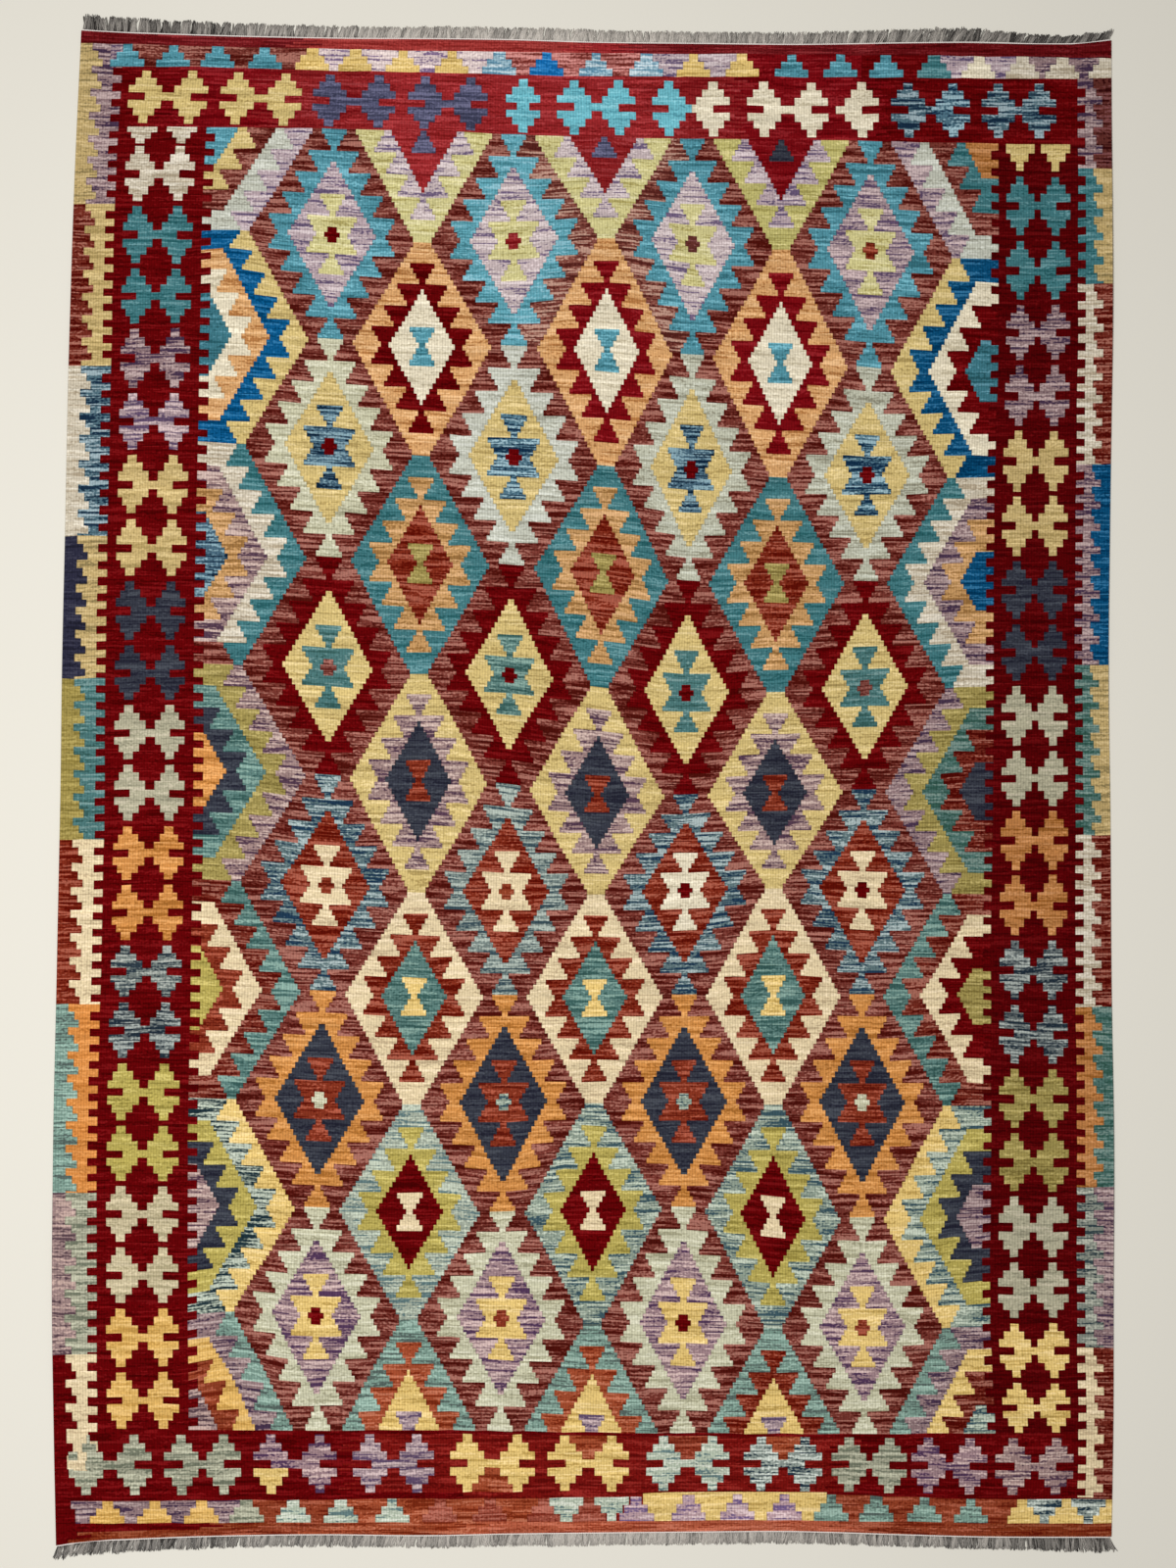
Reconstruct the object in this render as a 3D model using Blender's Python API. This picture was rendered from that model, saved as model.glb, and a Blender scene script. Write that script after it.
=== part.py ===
"""Kilim rug: one flat tapestry-woven wool panel with a short cut fringe at each end.

The rug lies on the plane z = 0 with its length along Y and its width along X. Its far end is
the +Y one. The origin is under the middle of the whole rug. Tables are in millimetres.
"""
import math
import random
from collections import namedtuple

import bmesh
import bpy
from mathutils import Vector

MM = 0.001
SHARP_ANGLE = math.radians(35)

# The woven panel: a slab of even thickness whose edges wander as hand weaving does
PANEL_THICK = 3.0
PANEL_COLUMNS = 25
PANEL_ROWS = 32

# The end finishes: a twined cord that lies just off the panel's end, and the locks in it
PIECE_GAP = 0.3
CORD_WIDE = 2.6
CORD_HIGH = 2.6
LOCKS_PER_COLUMN = 6
LOCK_TIP_HIGH = 1.3
LOCK_TIP_SHARE = 0.36
LOCK_LEAN_SHARE = 0.24
LOCK_LENGTH_SPREAD = 0.14
FRINGE_SEED = 11

# Finishes: dark red dyed wool, undyed grey wool, both with no gloss
DYED_WOOL = (0.22, 0.02, 0.02)
GREY_WOOL = (0.22, 0.21, 0.20)
WOOL_ROUGHNESS = 0.95

# Selvedges, from the far end to the near end: distance along the rug, then each edge's place
Selvedge = namedtuple("Selvedge", "along left right")
SELVEDGES = (
    Selvedge(1460, -965, 1016),
    Selvedge(1150, -979, 1017),
    Selvedge(850, -988, 1018),
    Selvedge(550, -995, 1014),
    Selvedge(250, -1002, 1010),
    Selvedge(-50, -1006, 1014),
    Selvedge(-350, -1012, 1016),
    Selvedge(-650, -1019, 1020),
    Selvedge(-950, -1021, 1020),
    Selvedge(-1200, -1019, 1020),
    Selvedge(-1460, -1014, 1016),
)

# Ends, from left to right: share of the width, then the place of each end's last weft
End = namedtuple("End", "across far near")
ENDS = (
    End(0.00, 1455, -1459),
    End(0.03, 1451, -1450),
    End(0.07, 1448, -1446),
    End(0.15, 1443, -1440),
    End(0.25, 1439, -1437),
    End(0.35, 1438, -1439),
    End(0.42, 1436, -1436),
    End(0.50, 1431, -1434),
    End(0.60, 1429, -1432),
    End(0.70, 1427, -1431),
    End(0.80, 1430, -1437),
    End(0.87, 1431, -1441),
    End(0.93, 1428, -1442),
    End(0.97, 1429, -1442),
    End(1.00, 1436, -1442),
)

# Fringe, from left to right: share of the width, each end's length and how far its tips lean
Fringe = namedtuple("Fringe", "across far near far_lean near_lean")
FRINGE = (
    Fringe(0.00, 29, 27, -1, -7),
    Fringe(0.12, 25, 23, 2, -4),
    Fringe(0.30, 22, 22, 3, -3),
    Fringe(0.45, 23, 23, 2, -1),
    Fringe(0.60, 21, 23, 0, 0),
    Fringe(0.75, 24, 22, 4, 0),
    Fringe(0.85, 28, 22, 6, 1),
    Fringe(0.93, 18, 24, 5, 2),
    Fringe(1.00, 21, 29, 7, 5),
)

# Low swells where the cloth stands off the surface: middle, half width and length, height
Swell = namedtuple("Swell", "x y half_x half_y height")
SWELLS = (
    Swell(1060, 1020, 190, 330, 5.0),
    Swell(1070, 300, 160, 300, 3.0),
    Swell(1075, -760, 170, 340, 3.5),
    Swell(-1040, 780, 170, 380, 4.0),
    Swell(-1060, -240, 150, 300, 3.0),
    Swell(-1060, -980, 170, 270, 4.5),
    Swell(-420, 560, 260, 150, 2.0),
    Swell(380, -420, 300, 140, 2.2),
    Swell(460, 940, 240, 130, 1.8),
    Swell(-350, -1040, 280, 140, 2.0),
)


def read_smooth(rows, key, column, at):
    """Read a table's column at a key, on a smooth curve through its rows."""
    rows = sorted(rows, key=lambda row: getattr(row, key))
    keys = [getattr(row, key) for row in rows]
    values = [getattr(row, column) for row in rows]
    last = len(rows) - 1
    at = min(max(at, keys[0]), keys[last])
    low = max(index for index in range(last) if keys[index] <= at)
    step = keys[low + 1] - keys[low]
    share = (at - keys[low]) / step

    def slope(index):
        before = max(index - 1, 0)
        after = min(index + 1, last)
        return (values[after] - values[before]) / (keys[after] - keys[before])

    squared = share * share
    cubed = squared * share
    start = (2 * cubed - 3 * squared + 1) * values[low] + (cubed - 2 * squared + share) * step * slope(low)
    end = (3 * squared - 2 * cubed) * values[low + 1] + (cubed - squared) * step * slope(low + 1)
    return start + end


def panel_plan(across, along):
    """Place in plan of a share of the panel's width and of its length, near end to far end."""
    far = read_smooth(ENDS, "across", "far", across)
    near = read_smooth(ENDS, "across", "near", across)
    y = near + (far - near) * along
    left = read_smooth(SELVEDGES, "along", "left", y)
    right = read_smooth(SELVEDGES, "along", "right", y)
    return left + (right - left) * across, y


def lift(x, y):
    """Height of the panel's underside: nought but on the swells."""
    height = 0.0
    for swell in SWELLS:
        distance = ((x - swell.x) / swell.half_x) ** 2 + ((y - swell.y) / swell.half_y) ** 2
        if distance < 1.0:
            height = max(height, swell.height * (1.0 - distance) ** 2)
    return height


def finish_object(name, mesh, colour):
    """Add a mesh to the scene as a named object with its own material."""
    material = bpy.data.materials.new(name)
    material.use_nodes = True
    shader = material.node_tree.nodes["Principled BSDF"]
    shader.inputs["Base Color"].default_value = (*colour, 1.0)
    shader.inputs["Roughness"].default_value = WOOL_ROUGHNESS
    shader.inputs["Metallic"].default_value = 0.0
    material.diffuse_color = (*colour, 1.0)
    mesh.materials.append(material)
    mesh.shade_smooth()
    mesh.set_sharp_from_angle(angle=SHARP_ANGLE)
    piece = bpy.data.objects.new(name, mesh)
    bpy.context.collection.objects.link(piece)
    return piece


def woven_panel():
    """The cloth: a grid of even thickness between its underside and its face."""
    build = bmesh.new()
    under = []
    face = []
    for row in range(PANEL_ROWS + 1):
        for column in range(PANEL_COLUMNS + 1):
            x, y = panel_plan(column / PANEL_COLUMNS, row / PANEL_ROWS)
            low = lift(x, y)
            under.append(build.verts.new(Vector((x, y, low)) * MM))
            face.append(build.verts.new(Vector((x, y, low + PANEL_THICK)) * MM))
    wide = PANEL_COLUMNS + 1
    for row in range(PANEL_ROWS):
        for column in range(PANEL_COLUMNS):
            first = row * wide + column
            ring = (first, first + 1, first + 1 + wide, first + wide)
            build.faces.new([face[index] for index in ring])
            build.faces.new([under[index] for index in reversed(ring)])
    rim = list(range(wide))
    rim += [row * wide + PANEL_COLUMNS for row in range(1, PANEL_ROWS + 1)]
    rim += [PANEL_ROWS * wide + column for column in range(PANEL_COLUMNS - 1, -1, -1)]
    rim += [row * wide for row in range(PANEL_ROWS - 1, 0, -1)]
    for here, there in zip(rim, rim[1:] + rim[:1]):
        build.faces.new((under[here], under[there], face[there], face[here]))
    mesh = bpy.data.meshes.new("woven_panel")
    build.to_mesh(mesh)
    build.free()
    return finish_object("woven_panel", mesh, DYED_WOOL)


def end_place(across, along, outward, off):
    """A place beside the panel's end: it follows the panel's own straight steps, some way off."""
    spot = across * PANEL_COLUMNS
    column = min(int(spot), PANEL_COLUMNS - 1)
    share = spot - column
    start = Vector(panel_plan(column / PANEL_COLUMNS, along))
    stop = Vector(panel_plan((column + 1) / PANEL_COLUMNS, along))
    place = start.lerp(stop, share)
    place.y += outward * off
    return place


def fringe(name, end, along, outward):
    """One end's twined cord with its locks, which taper and lie flat on the surface."""
    chance = random.Random(FRINGE_SEED + len(name))
    locks = PANEL_COLUMNS * LOCKS_PER_COLUMN
    pitch = (SELVEDGES[0].right - SELVEDGES[0].left) / locks
    build = bmesh.new()

    def corner_pair(place, height):
        low = build.verts.new(Vector((place.x, place.y, 0.0)) * MM)
        high = build.verts.new(Vector((place.x, place.y, height)) * MM)
        return low, high

    inner = []
    outer = []
    for index in range(locks + 1):
        across = index / locks
        inner.append(corner_pair(end_place(across, along, outward, PIECE_GAP), CORD_HIGH))
        outer.append(corner_pair(end_place(across, along, outward, PIECE_GAP + CORD_WIDE), CORD_HIGH))

    def prism(plan):
        """Floor and roof over a ring of corner pairs."""
        build.faces.new([pair[0] for pair in plan])
        build.faces.new([pair[1] for pair in plan])

    def wall(start, stop):
        build.faces.new((start[0], stop[0], stop[1], start[1]))

    wall(inner[0], outer[0])
    wall(inner[-1], outer[-1])
    for index in range(locks):
        across = (index + 0.5) / locks
        length = read_smooth(FRINGE, "across", end, across)
        length *= 1.0 + chance.uniform(-LOCK_LENGTH_SPREAD, LOCK_LENGTH_SPREAD)
        lean = read_smooth(FRINGE, "across", end + "_lean", across)
        lean += chance.uniform(-LOCK_LEAN_SHARE, LOCK_LEAN_SHARE) * pitch
        middle = end_place(across, along, outward, PIECE_GAP + CORD_WIDE + length)
        half_tip = Vector((0.5 * LOCK_TIP_SHARE * pitch, 0.0))
        sway = Vector((lean, 0.0))
        tip_left = corner_pair(middle + sway - half_tip, LOCK_TIP_HIGH)
        tip_right = corner_pair(middle + sway + half_tip, LOCK_TIP_HIGH)
        prism((inner[index], inner[index + 1], outer[index + 1], outer[index]))
        prism((outer[index], outer[index + 1], tip_right, tip_left))
        wall(inner[index], inner[index + 1])
        wall(outer[index], tip_left)
        wall(tip_left, tip_right)
        wall(tip_right, outer[index + 1])
    bmesh.ops.recalc_face_normals(build, faces=build.faces)
    mesh = bpy.data.meshes.new(name)
    build.to_mesh(mesh)
    build.free()
    return finish_object(name, mesh, GREY_WOOL)


def centre_on_origin(pieces):
    """Slide every mesh so that the origin is under the middle of the whole rug."""
    corners = [vertex.co for piece in pieces for vertex in piece.data.vertices]
    middle_x = (min(co.x for co in corners) + max(co.x for co in corners)) / 2
    middle_y = (min(co.y for co in corners) + max(co.y for co in corners)) / 2
    for piece in pieces:
        for vertex in piece.data.vertices:
            vertex.co -= Vector((middle_x, middle_y, 0.0))


def main():
    for thing in list(bpy.data.objects):
        bpy.data.objects.remove(thing)
    pieces = [
        woven_panel(),
        fringe("far_fringe", "far", 1.0, 1.0),
        fringe("near_fringe", "near", 0.0, -1.0),
    ]
    centre_on_origin(pieces)


main()
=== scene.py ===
"""Looks of the kilim rug: the patterned tapestry cloth, its twined ends and its cut fringes.

The cloth is charted on its own threads, as a weaver would: across in warps from the left
selvedge, and down in picks from the far end. One pick of the chart is one pair of wefts. The
chart is cut into rectangles of one yarn, and these become the faces of the cloth. Tables are in
millimetres, warps, picks or the field's own rows and units, as each one says.
"""
import bisect
import math
from collections import defaultdict, namedtuple
from functools import partial

import bpy
import numpy as np
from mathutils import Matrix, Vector


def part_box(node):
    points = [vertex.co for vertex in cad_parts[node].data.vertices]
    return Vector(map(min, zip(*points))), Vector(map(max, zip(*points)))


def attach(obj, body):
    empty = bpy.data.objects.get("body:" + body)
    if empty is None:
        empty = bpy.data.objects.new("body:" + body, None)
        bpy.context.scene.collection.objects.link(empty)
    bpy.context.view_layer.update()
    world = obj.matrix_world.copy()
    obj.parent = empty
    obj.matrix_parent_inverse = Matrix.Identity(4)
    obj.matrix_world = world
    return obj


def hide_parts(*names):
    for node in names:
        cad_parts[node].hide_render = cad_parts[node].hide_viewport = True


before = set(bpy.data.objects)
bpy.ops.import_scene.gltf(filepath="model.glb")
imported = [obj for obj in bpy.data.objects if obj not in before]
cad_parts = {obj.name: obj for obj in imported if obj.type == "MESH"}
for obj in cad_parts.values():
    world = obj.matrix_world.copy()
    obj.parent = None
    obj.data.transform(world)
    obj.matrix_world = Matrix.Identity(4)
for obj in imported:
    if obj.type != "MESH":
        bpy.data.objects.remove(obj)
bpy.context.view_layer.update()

MM = 0.001
BODY = "root"


def table(columns, *rows):
    """A short table: every row has the named columns."""
    kind = namedtuple("Row", columns)
    return tuple(kind(*row) for row in rows)


# The photograph: its size, its scale on the rug's plane, and the pixel that is x = y = 0 below
PHOTO_WIDE_PX = 1200
PHOTO_TALL_PX = 1600
MM_PER_PX = 1.885
ORIGIN_PX = (595, 803)
LENS_MM = 50.0
SENSOR_MM = 36.0

# The cloth's outline and swells, as the part's source has them, in millimetres
PANEL_THICK = 3.0
PIECE_GAP = 0.3
CORD_WIDE = 2.6

SELVEDGES = table(
    "along left right",
    (1460, -965, 1016), (1150, -979, 1017), (850, -988, 1018), (550, -995, 1014), (250, -1002, 1010),
    (-50, -1006, 1014), (-350, -1012, 1016), (-650, -1019, 1020), (-950, -1021, 1020),
    (-1200, -1019, 1020), (-1460, -1014, 1016),
)

ENDS = table(
    "across far near",
    (0.00, 1455, -1459), (0.03, 1451, -1450), (0.07, 1448, -1446), (0.15, 1443, -1440),
    (0.25, 1439, -1437), (0.35, 1438, -1439), (0.42, 1436, -1436), (0.50, 1431, -1434),
    (0.60, 1429, -1432), (0.70, 1427, -1431), (0.80, 1430, -1437), (0.87, 1431, -1441),
    (0.93, 1428, -1442), (0.97, 1429, -1442), (1.00, 1436, -1442),
)

FRINGE = table(
    "across far near far_lean near_lean",
    (0.00, 29, 27, -1, -7), (0.12, 25, 23, 2, -4), (0.30, 22, 22, 3, -3), (0.45, 23, 23, 2, -1),
    (0.60, 21, 23, 0, 0), (0.75, 24, 22, 4, 0), (0.85, 28, 22, 6, 1), (0.93, 18, 24, 5, 2),
    (1.00, 21, 29, 7, 5),
)

SWELLS = table(
    "x y half_x half_y height",
    (1060, 1020, 190, 330, 5.0), (1070, 300, 160, 300, 3.0), (1075, -760, 170, 340, 3.5),
    (-1040, 780, 170, 380, 4.0), (-1060, -240, 150, 300, 3.0), (-1060, -980, 170, 270, 4.5),
    (-420, 560, 260, 150, 2.0), (380, -420, 300, 140, 2.2), (460, 940, 240, 130, 1.8),
    (-350, -1040, 280, 140, 2.0),
)

# The loom: warps across the cloth, and its bands from the far end to the near end in picks
WARPS = 674
WARP_PITCH = 3.0
PICK_PITCH = 2.13
END_BAND = 12
STEP = 7
PYRAMID_BAND = 3 * STEP
LOBE_BAND = 7 * STEP
THIN_GAP = 3
NEAR_GAP = 6
ROW = 5
UNIT = 2
FIELD_ROWS = 234
FIELD_UNITS = 256
FIELD_LEFT = 86
FIELD_RIGHT = FIELD_LEFT + UNIT * FIELD_UNITS
FIELD_EDGE = FIELD_RIGHT + 2
FAR_PYRAMIDS = END_BAND
FAR_LOBES = FAR_PYRAMIDS + PYRAMID_BAND + THIN_GAP
FIELD_TOP = FAR_LOBES + LOBE_BAND + THIN_GAP
FIELD_BOTTOM = FIELD_TOP + ROW * FIELD_ROWS
NEAR_LOBES = FIELD_BOTTOM + THIN_GAP
NEAR_PYRAMIDS = NEAR_LOBES + LOBE_BAND + NEAR_GAP
NEAR_END = NEAR_PYRAMIDS + PYRAMID_BAND
PICKS = NEAR_END + END_BAND

# How some wefts run across the cloth: where each lies along the rug, in millimetres, at seven
# places across. Hand weaving lets them rise and fall. Those of the field are the middles of its
# rows 19, 39, 58 and so on. The ends' own lines are in ENDS.
WEFT_SHARES = (0.0, 0.13, 0.31, 0.50, 0.69, 0.89, 1.0)
WEFTS = table(
    "pick edge_left left mid_left middle mid_right right edge_right",
    (FAR_PYRAMIDS, 1431, 1424, 1417, 1412, 1409, 1405, 1402),
    (FAR_PYRAMIDS + PYRAMID_BAND, 1387, 1384, 1375, 1367, 1366, 1363, 1363),
    (FAR_LOBES, 1381, 1376, 1367, 1359, 1356, 1353, 1352),
    (FAR_LOBES + LOBE_BAND, 1279, 1275, 1267, 1254, 1250, 1248, 1246),
    (FIELD_TOP, 1270, 1269, 1263, 1250, 1245, 1237, 1235),
    (FIELD_TOP + 97.5, 1077, 1076, 1055, 1045, 1038, 1020, 1020),
    (FIELD_TOP + 197.5, 871, 871, 850, 839, 814, 797, 797),
    (FIELD_TOP + 292.5, 671, 670, 646, 624, 601, 601, 601),
    (FIELD_TOP + 392.5, 445, 445, 432, 415, 392, 396, 396),
    (FIELD_TOP + 487.5, 243, 243, 222, 200, 187, 199, 199),
    (FIELD_TOP + 587.5, 34, 34, 13, -15, -11, -9, -9),
    (FIELD_TOP + 682.5, -172, -172, -196, -202, -197, -201, -201),
    (FIELD_TOP + 782.5, -386, -386, -402, -405, -403, -405, -405),
    (FIELD_TOP + 877.5, -592, -592, -606, -604, -605, -610, -610),
    (FIELD_TOP + 977.5, -805, -805, -817, -814, -826, -824, -824),
    (FIELD_TOP + 1072.5, -1016, -1016, -1018, -1027, -1036, -1033, -1033),
    (FIELD_BOTTOM, -1237, -1237, -1240, -1242, -1244, -1244, -1244),
    (NEAR_LOBES, -1246, -1246, -1247, -1248, -1250, -1253, -1253),
    (NEAR_LOBES + LOBE_BAND, -1363, -1361, -1357, -1355, -1354, -1361, -1361),
    (NEAR_PYRAMIDS, -1374, -1373, -1370, -1367, -1360, -1370, -1370),
    (NEAR_END, -1417, -1416, -1414, -1412, -1411, -1416, -1416),
)

# How far some warps have drifted to the right of an even spread, in millimetres, down the rug
DRIFT_WARPS = (57, 86, 168, 284, 400, 516, 598, 626)
DRIFTS = table(
    "along lobes field first second third fourth field_end lobes_end",
    (1350, 0, 0, 0, 0, 0, 0, 0, 0), (1174, -6.4, -6.4, 0, 3, 4, 4, -1, -1),
    (647, -4, -5, 4, 11, 6, 2, -3, -2), (204, 0, -3.5, 11, 13, 6, 4, 0, 2),
    (-192, 2, -1.5, 10.5, 9, 4, -3.5, -7, -3), (-603, 0, -1, 3, 7, 3, -5, -11, -8),
    (-1022, 1, 0, -2.5, 4, 2, -4, -13, -8), (-1240, 0, 0, 0, 0, 0, 0, -3, 0),
)

# Places where the weaving is pulled aside: middle, half width and length, how far right and up
PULLS = table(
    "x y half_x half_y right up",
    (43, 703, 245, 790, 10, 0), (43, 1020, 215, 245, 0, 15), (179, 270, 190, 430, 0, -13),
    (-207, 109, 245, 210, 0, 12), (-160, -748, 130, 150, 0, -11), (556, -890, 265, 265, 0, -9),
    (198, -843, 205, 190, 0, 7), (368, -258, 190, 205, 0, 9), (-273, -1155, 415, 150, 0, 7),
    (735, -477, 170, 150, 0, 8), (-669, -1031, 132, 207, 0, 13), (-669, -1149, 132, 92, 0, 13),
    (-669, 995, 113, 113, 0, 10), (-500, -70, 150, 150, 0, -8), (584, 745, 160, 150, 0, -7),
    (716, 948, 190, 560, 5, 0),
)

# Random wander of the wefts and warps in millimetres, and the sizes of its coarse grids. The
# warps' is nought at the selvedges, and full from 1/120 of the width inside them.
PICK_WANDER = 0.35
PICK_SWAY = 1.6
WARP_WANDER = 1.0
WANDER_SEED = 5
WANDER_WIDE = 14
SWAY_GRID = (72, 84)
WARP_GRID = (60, 90)
EDGE_PARTS = 60

# Yarns: a dark, a main and a light shade, and how far the streaks hold back (0.2: hardly any)
YARNS = {yarn.name: yarn for yarn in table(
    "name dark main light hold",
    ("end_red", "#5e0f13", "#71181c", "#852c2f", 0.05),
    ("end_bright", "#8c2724", "#a03835", "#b24a45", 0.05),
    ("end_dark", "#4e0709", "#620f13", "#721f23", 0.05),
    ("dark_red", "#4b0102", "#5f0306", "#730f12", 0.06),
    ("mid_red", "#761014", "#882022", "#9c383b", 0.06),
    ("lobe_red", "#640309", "#770b12", "#8c1f25", 0.06),
    ("bright_red", "#80191a", "#96272a", "#ab3b3e", 0.06),
    ("deep_red", "#420103", "#520205", "#620a0d", 0.06),
    ("near_red", "#5f0a08", "#74120f", "#8b2520", 0.05),
    ("wine", "#3a0c0d", "#602e29", "#7d4b4b", 0.04),
    ("rust", "#7b2a13", "#9e4a2e", "#bb6e53", 0.05),
    ("rust_bright", "#943c25", "#ae583e", "#c26f57", 0.05),
    ("rust_dark", "#6f2210", "#8b3d25", "#a85a43", 0.05),
    ("rust_deep", "#69190a", "#7d3219", "#944e34", 0.05),
    ("rose_rust", "#7c2c1d", "#994c3c", "#b46b5b", 0.03),
    ("rose_brown", "#4e110b", "#73352d", "#a26a5e", 0.03),
    ("rose_soft", "#57231e", "#82493f", "#b89080", 0.03),
    ("rose", "#5f261f", "#7c4740", "#a0695f", 0.04),
    ("rose_light", "#78302a", "#b06862", "#d6928c", 0.03),
    ("brick", "#63170b", "#82321f", "#a65541", 0.05),
    ("brick_var", "#5f0f05", "#7c2b1a", "#a25644", 0.03),
    ("brown_red", "#510a05", "#702a1f", "#9e6355", 0.03),
    ("turquoise", "#5ca5b5", "#70bbc9", "#88cad6", 0.07),
    ("teal_light", "#488794", "#62a4b3", "#86b9c7", 0.05),
    ("teal", "#39727f", "#52909f", "#72afbe", 0.06),
    ("teal_deep", "#295f64", "#41757b", "#639095", 0.06),
    ("teal_blue", "#295b65", "#3c727f", "#5c8f9e", 0.06),
    ("teal_dull", "#375e5b", "#4b7575", "#71918f", 0.06),
    ("teal_var", "#395d59", "#5a7c77", "#82a197", 0.04),
    ("teal_var_pale", "#566560", "#79968a", "#9ab6a9", 0.04),
    ("teal_guard", "#33584e", "#4e6f69", "#758c84", 0.03),
    ("lilac_pale", "#816a8f", "#dac6c4", "#eedcd7", 0.06),
    ("lilac_light", "#746281", "#c2b1b2", "#dbcccc", 0.05),
    ("lilac_soft", "#695877", "#b4a0a6", "#cfc0c2", 0.05),
    ("lilac_mid", "#77608c", "#b7999f", "#d6bec0", 0.04),
    ("lilac_var", "#614d6a", "#a28c91", "#c9b3b3", 0.04),
    ("lilac_warm", "#553c4e", "#9b807d", "#c5ada4", 0.04),
    ("lilac_dusk", "#47334b", "#8e7577", "#b59f9d", 0.04),
    ("lilac_guard", "#5c464e", "#967d7b", "#bca198", 0.04),
    ("purple_var", "#523857", "#9a7e83", "#cab0ac", 0.04),
    ("sea_bright", "#6090aa", "#9abac8", "#ccdce3", 0.03),
    ("sea_var", "#667f80", "#b1bca9", "#d0d5c6", 0.04),
    ("sea_mixed", "#223746", "#8c9790", "#ced6cd", 0.03),
    ("sea_pale", "#757a68", "#9f9f8a", "#bbbba4", 0.04),
    ("sea_striped", "#1e323b", "#7a867c", "#bac3b3", 0.01),
    ("sea_grey", "#2d3a44", "#6f7875", "#a3a8a1", 0.03),
    ("sea_light", "#607a7c", "#9da697", "#bfc8b6", 0.035),
    ("sea_guard", "#354449", "#858a80", "#aeb0a2", 0.04),
    ("sea_dark", "#222f3b", "#687070", "#a1a8a3", 0.03),
    ("blue_mixed", "#182e44", "#4f6b77", "#97aab1", 0.03),
    ("blue_var", "#122f4a", "#4e7081", "#9ab8c2", 0.03),
    ("blue_deep", "#0d243a", "#466375", "#82a0ab", 0.03),
    ("blue_pale", "#3a4f58", "#788682", "#aab5ac", 0.03),
    ("blue_var_dull", "#1e3850", "#5c7276", "#a3b2b2", 0.03),
    ("light_blue", "#3c5660", "#8b998b", "#bcc6b5", 0.035),
    ("royal", "#01375c", "#0a4a72", "#2f6c94", 0.05),
    ("royal_left", "#01426c", "#0c5789", "#2d72a1", 0.05),
    ("royal_bright", "#1268ac", "#2d7fc0", "#5199d2", 0.04),
    ("navy", "#242533", "#343742", "#444851", 0.05),
    ("navy_guard", "#212130", "#2b2b3d", "#3a3a4a", 0.05),
    ("navy_soft", "#3e4058", "#545570", "#6c6c89", 0.04),
    ("lime_pale", "#b4a867", "#cfc78c", "#dfd7a6", 0.07),
    ("lime_green", "#a99f5a", "#bfb772", "#d5ca8c", 0.07),
    ("lime_warm", "#988a42", "#b3a456", "#c9ba6d", 0.07),
    ("lime", "#80713a", "#9c8d50", "#b6a668", 0.06),
    ("lime_guard", "#8a7a3c", "#9b8a4a", "#aa9958", 0.05),
    ("orange", "#b47945", "#d5a16b", "#e6b886", 0.06),
    ("orange_dull", "#9c7140", "#c19460", "#d6a979", 0.05),
    ("orange_warm", "#b07031", "#cc8a49", "#dfa060", 0.06),
    ("orange_deep", "#985e29", "#b57945", "#c68c5b", 0.06),
    ("orange_guard", "#bf7635", "#d18744", "#df9755", 0.06),
    ("cream", "#ccc0a4", "#e1d6bc", "#efe5cd", 0.07),
    ("cream_warm", "#c9b38f", "#dfcba4", "#ebd7b4", 0.07),
    ("cream_guard", "#b2a38b", "#cbc0ab", "#dcd3c2", 0.05),
    ("pale", "#aba88b", "#c6c4a8", "#d6d4bc", 0.06),
    ("pale_cool", "#a8a899", "#c0c2b4", "#d0d2c7", 0.06),
    ("pale_green", "#9b9985", "#babba8", "#cccebe", 0.06),
    ("pale_warm", "#b3a784", "#c4b795", "#d1c3a2", 0.05),
    ("pale_dull", "#9b9780", "#aea990", "#bdb59e", 0.06),
    ("yellow", "#b59c60", "#d0b878", "#dfc88f", 0.07),
    ("yellow_deep", "#c8a65c", "#e2c278", "#eed192", 0.07),
    ("yellow_warm", "#c99b4f", "#daae62", "#e4bb75", 0.05),
    ("yellow_dull", "#b29a62", "#c5ac74", "#d5bd86", 0.06),
    ("yellow_guard", "#978458", "#bba26d", "#cbb381", 0.05),
)}
YARN_NAMES = tuple(YARNS)


def line_up(rows, key, column, at):
    """Read a table's column at an array of keys, on a smooth curve through its rows."""
    rows = sorted(rows, key=lambda row: getattr(row, key))
    keys = np.array([getattr(row, key) for row in rows], dtype=float)
    values = np.array([getattr(row, column) for row in rows], dtype=float)
    return smooth_through(keys, values, at)


def smooth_through(keys, values, at):
    """Values at an array of places, on a smooth curve through the keys' values."""
    at = np.clip(at, keys[0], keys[-1])
    low = np.clip(np.searchsorted(keys, at, side="right") - 1, 0, len(keys) - 2)
    slopes = np.empty(len(keys))
    slopes[1:-1] = (values[2:] - values[:-2]) / (keys[2:] - keys[:-2])
    slopes[0] = (values[1] - values[0]) / (keys[1] - keys[0])
    slopes[-1] = (values[-1] - values[-2]) / (keys[-1] - keys[-2])
    step = keys[low + 1] - keys[low]
    share = (at - keys[low]) / step
    squared = share * share
    cubed = squared * share
    start = (2 * cubed - 3 * squared + 1) * values[low]
    start += (cubed - 2 * squared + share) * step * slopes[low]
    end = (3 * squared - 2 * cubed) * values[low + 1]
    end += (cubed - squared) * step * slopes[low + 1]
    return start + end


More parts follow.
